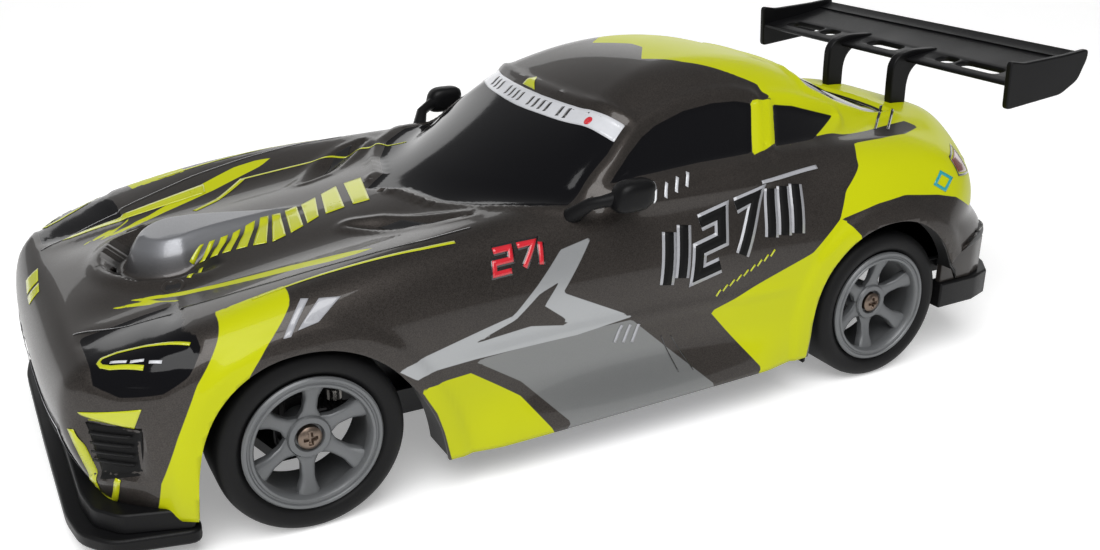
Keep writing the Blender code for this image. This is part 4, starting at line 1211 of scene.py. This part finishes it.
# %% Wheel parts
RIM = [(15.0, -8.0), (16.6, -8.2), (16.6, -7.3), (15.6, -7.2), (15.6, 7.2), (16.2, 7.4), (16.3, 8.1),
       (15.9, 8.5), (15.3, 8.5), (15.05, 8.1), (14.7, 8.1), (14.45, 8.45), (13.9, 8.3), (13.5, 7.7),
       (13.4, 5.4), (14.4, 3.8), (14.8, 0.0)]
HUB = [(0.4, -3.0), (4.6, -3.0), (4.9, 2.0), (5.15, 4.4), (4.8, 4.9), (3.6, 4.9), (3.3, 4.5), (3.2, 3.6),
       (0.4, 3.6)]
TYRE = [(15.8, -7.0), (16.6, -7.2), (17.1, -7.9), (17.8, -8.35), (19.2, -8.5), (20.2, -8.3), (21.1, -7.8),
        (21.7, -7.0), (21.95, -6.0), (22.0, -4.5), (22.0, 4.5), (21.95, 6.0), (21.7, 7.0), (21.1, 7.8),
        (20.2, 8.3), (19.2, 8.5), (17.8, 8.35), (17.1, 7.9), (16.6, 7.2), (15.8, 7.0)]


def spoke(turned, length_cells=14, around=14):
    """One spoke: a rounded bar whose width and height change on its way from hub to barrel."""
    t = np.linspace(0, 1, length_cells)[:, None]
    radius = 3.9 + 9.6 * t
    wide = 1.65 + 1.25 * (1 - ramp(t, 0, 0.35)) + 1.0 * ramp(t, 0.6, 1.0)
    face = 4.2 + 2.6 * t ** 1.5
    deep = 2.3 + 1.0 * t
    u = np.linspace(0, 2 * math.pi, around, endpoint=False)[None, :]
    across_way = wide * soft_power(np.cos(u), 0.55)
    along = face - deep / 2 + deep / 2 * soft_power(np.sin(u), 0.55)
    x = radius * math.cos(turned) - across_way * math.sin(turned)
    z = radius * math.sin(turned) + across_way * math.cos(turned)
    faces = [tuple(f) for f in grid_faces(length_cells, around, False, True)]
    last = around * (length_cells - 1)
    faces += [tuple(range(around))[::-1], tuple(range(last, last + around))]
    return np.stack([x, along + 0 * x, z], axis=-1), faces


def screw_head(rings=16, sides=72):
    """A domed disc with a cross sunk in it, closed by a flat back."""
    r = np.linspace(0.02, 2.8, rings)[:, None]
    a = np.linspace(0, 2 * math.pi, sides, endpoint=False)[None, :]
    x, z = r * np.cos(a), r * np.sin(a)
    arm = np.minimum(np.abs(x), np.abs(z))
    reach = np.maximum(np.abs(x), np.abs(z))
    cross = ramp(-arm, -0.55, -0.25) * ramp(-reach, -1.75, -1.35)
    height = 5.9 - 0.75 * (r / 2.8) ** 3 - 0.9 * cross
    front = np.stack([x, height, z], axis=-1)
    back = np.stack([x[-1:], np.full_like(x[-1:], 3.7), z[-1:]], axis=-1)
    middle = np.stack([x[:1], back[:, :, 1], z[:1]], axis=-1)
    return np.concatenate([front, back, middle]), grid_faces(rings + 2, sides, True, True)


def stand(part, centre, side):
    """A wheel part moved to its axle; the right-hand wheels are mirrored."""
    points, faces = part
    return points * (1, side, 1) + centre, faces


CORNERS = [(f"{end}_{label}", axle_x, wheel_y, side)
           for end, axle_x, wheel_y in (("front", FRONT_X, 52.8), ("rear", REAR_X, 51.5))
           for side, label in SIDES]
for code, axle_x, wheel_y, side in CORNERS:
    centre = np.array([axle_x, side * wheel_y, AXLE_Z])
    spokes = [spoke(math.radians(60 * i + 36)) for i in range(6)]
    wheel_parts = [stand(part, centre, side) for part in [lathe(RIM, 96), lathe(HUB, 48), *spokes]]
    wheel = build(f"cast_wheel_{code}", wheel_parts, wheel_grey, f"wheel_{code}", outward=True)
    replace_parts(wheel, f"rim_{code}")
    tyre = build(f"slick_tyre_{code}", [stand(lathe(TYRE, 112), centre, side)], rubber, f"wheel_{code}",
                 outward=True, angle=60)
    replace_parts(tyre, f"tyre_{code}")
    head = build(f"cross_screw_{code}", [stand(screw_head(), centre, side)], screw_steel, f"wheel_{code}",
                 outward=True)
    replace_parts(head, f"wheel_screw_{code}")
print("wheels done")

# %% [markdown]
# ## Springs and drive shafts
# Each shock absorber carries a coil spring between two collars, and a thin shaft runs from each gearbox to
# its wheel.

# %% Springs, shafts and gears
for code, axle_x, wheel_y, side in CORNERS:
    shock_x = axle_x + (5.5 if axle_x > 0 else -5.5)
    top, foot = np.array([shock_x, side * 23.0, 42.0]), np.array([shock_x, side * 34.0, 16.5])
    down = (foot - top) / np.linalg.norm(foot - top)
    side_way = np.array([1.0, 0, 0])
    other = np.cross(down, side_way)
    t = np.linspace(0, 1, 150)[:, None]
    lift = 3.0 + 19.0 * t
    wind = 2 * math.pi * 6.5 * t
    path = top + down * lift + 4.35 * (np.cos(wind) * side_way + np.sin(wind) * other)
    spring = build(f"coil_spring_{code}", [tube(path, 0.5, 8)], spring_steel, "chassis",
                   outward=True, angle=60)
    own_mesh(spring)
    reach = np.array([14.6, 15.4, 16.2, 17.2, 25.0, 35.4, 36.4, 37.4]) * side
    path = np.stack([np.full(8, axle_x), reach, np.interp(np.abs(reach), (14.6, 37.4), (19.5, 21.6))], -1)
    build(f"drive_shaft_{code}", [tube(path, [1.2, 1.7, 1.2, 1.1, 1.1, 1.2, 1.7, 1.2], 14)], steel,
          f"arm_{code}", outward=True)


def gear(teeth, pitch, centre, low, high, phase):
    """A spur gear round an axle along x: the radius swings once per tooth, cut flat at tip and root."""
    a = np.linspace(0, 2 * math.pi, teeth * 8, endpoint=False)
    radius = pitch + 0.42 * np.clip(1.7 * np.cos(teeth * a + phase), -1, 1)
    outline = np.stack([centre[0] + radius * np.cos(a), centre[1] + radius * np.sin(a)], -1)
    return plate(outline, "x", low, high)


spur = build("toothed_spur_gear", [gear(42, 9.73, (0, 19), -32, -29, math.pi)], nylon, "shaft",
             outward=True)
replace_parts(spur, "spur_gear")
pinion = build("toothed_motor_pinion", [gear(15, 3.47, (-13.2, 19), -32, -28, 0.0)], steel, "pinion",
               outward=True)
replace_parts(pinion, "motor_pinion")

# %% [markdown]
# ## Finishes for the carried-over parts
# The chassis pieces keep their imported shapes. Each gets the finish that the start of its node name picks:
# nylon for the moulded frame and arms, steel for shafts, wrap for the battery and fine matt cases for the
# electronics.

# %% Finishes by node
BY_START = (("battery_pack", battery_wrap), ("battery_strap", case_black), ("control_box", case_black),
            ("power_switch", case_black), ("steering_servo", case_black), ("servo_horn", case_black),
            ("drive_motor", motor_can), ("shock_body", motor_can), ("shock_rod", steel), ("tie_rod", steel),
            ("centre_shaft", steel), ("bumper_foam", foam), ("rear_diffuser", trim_black))
for label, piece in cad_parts.items():
    chosen = next((finish for start, finish in BY_START if label.startswith(start)), nylon)
    if not piece.material_slots:
        piece.data.materials.append(chosen)
    for holder in piece.material_slots:
        holder.material = chosen
print("nodes finished", len(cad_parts))

# %% Floor
floor_mesh = bpy.data.meshes.new("floor")
FAR = 3
floor_mesh.from_pydata([(-FAR, -FAR, 0), (FAR, -FAR, 0), (FAR, FAR, 0), (-FAR, FAR, 0)], [], [(0, 1, 2, 3)])
floor = bpy.data.objects.new("floor", floor_mesh)
bpy.context.collection.objects.link(floor)
floor_mesh.materials.append(grained("pale_floor", (0.9, 0.9, 0.9), 0.6, 0.0, 2.0, 0.01,
                                     Emission_Color=(1, 1, 1, 1), Emission_Strength=0.3))
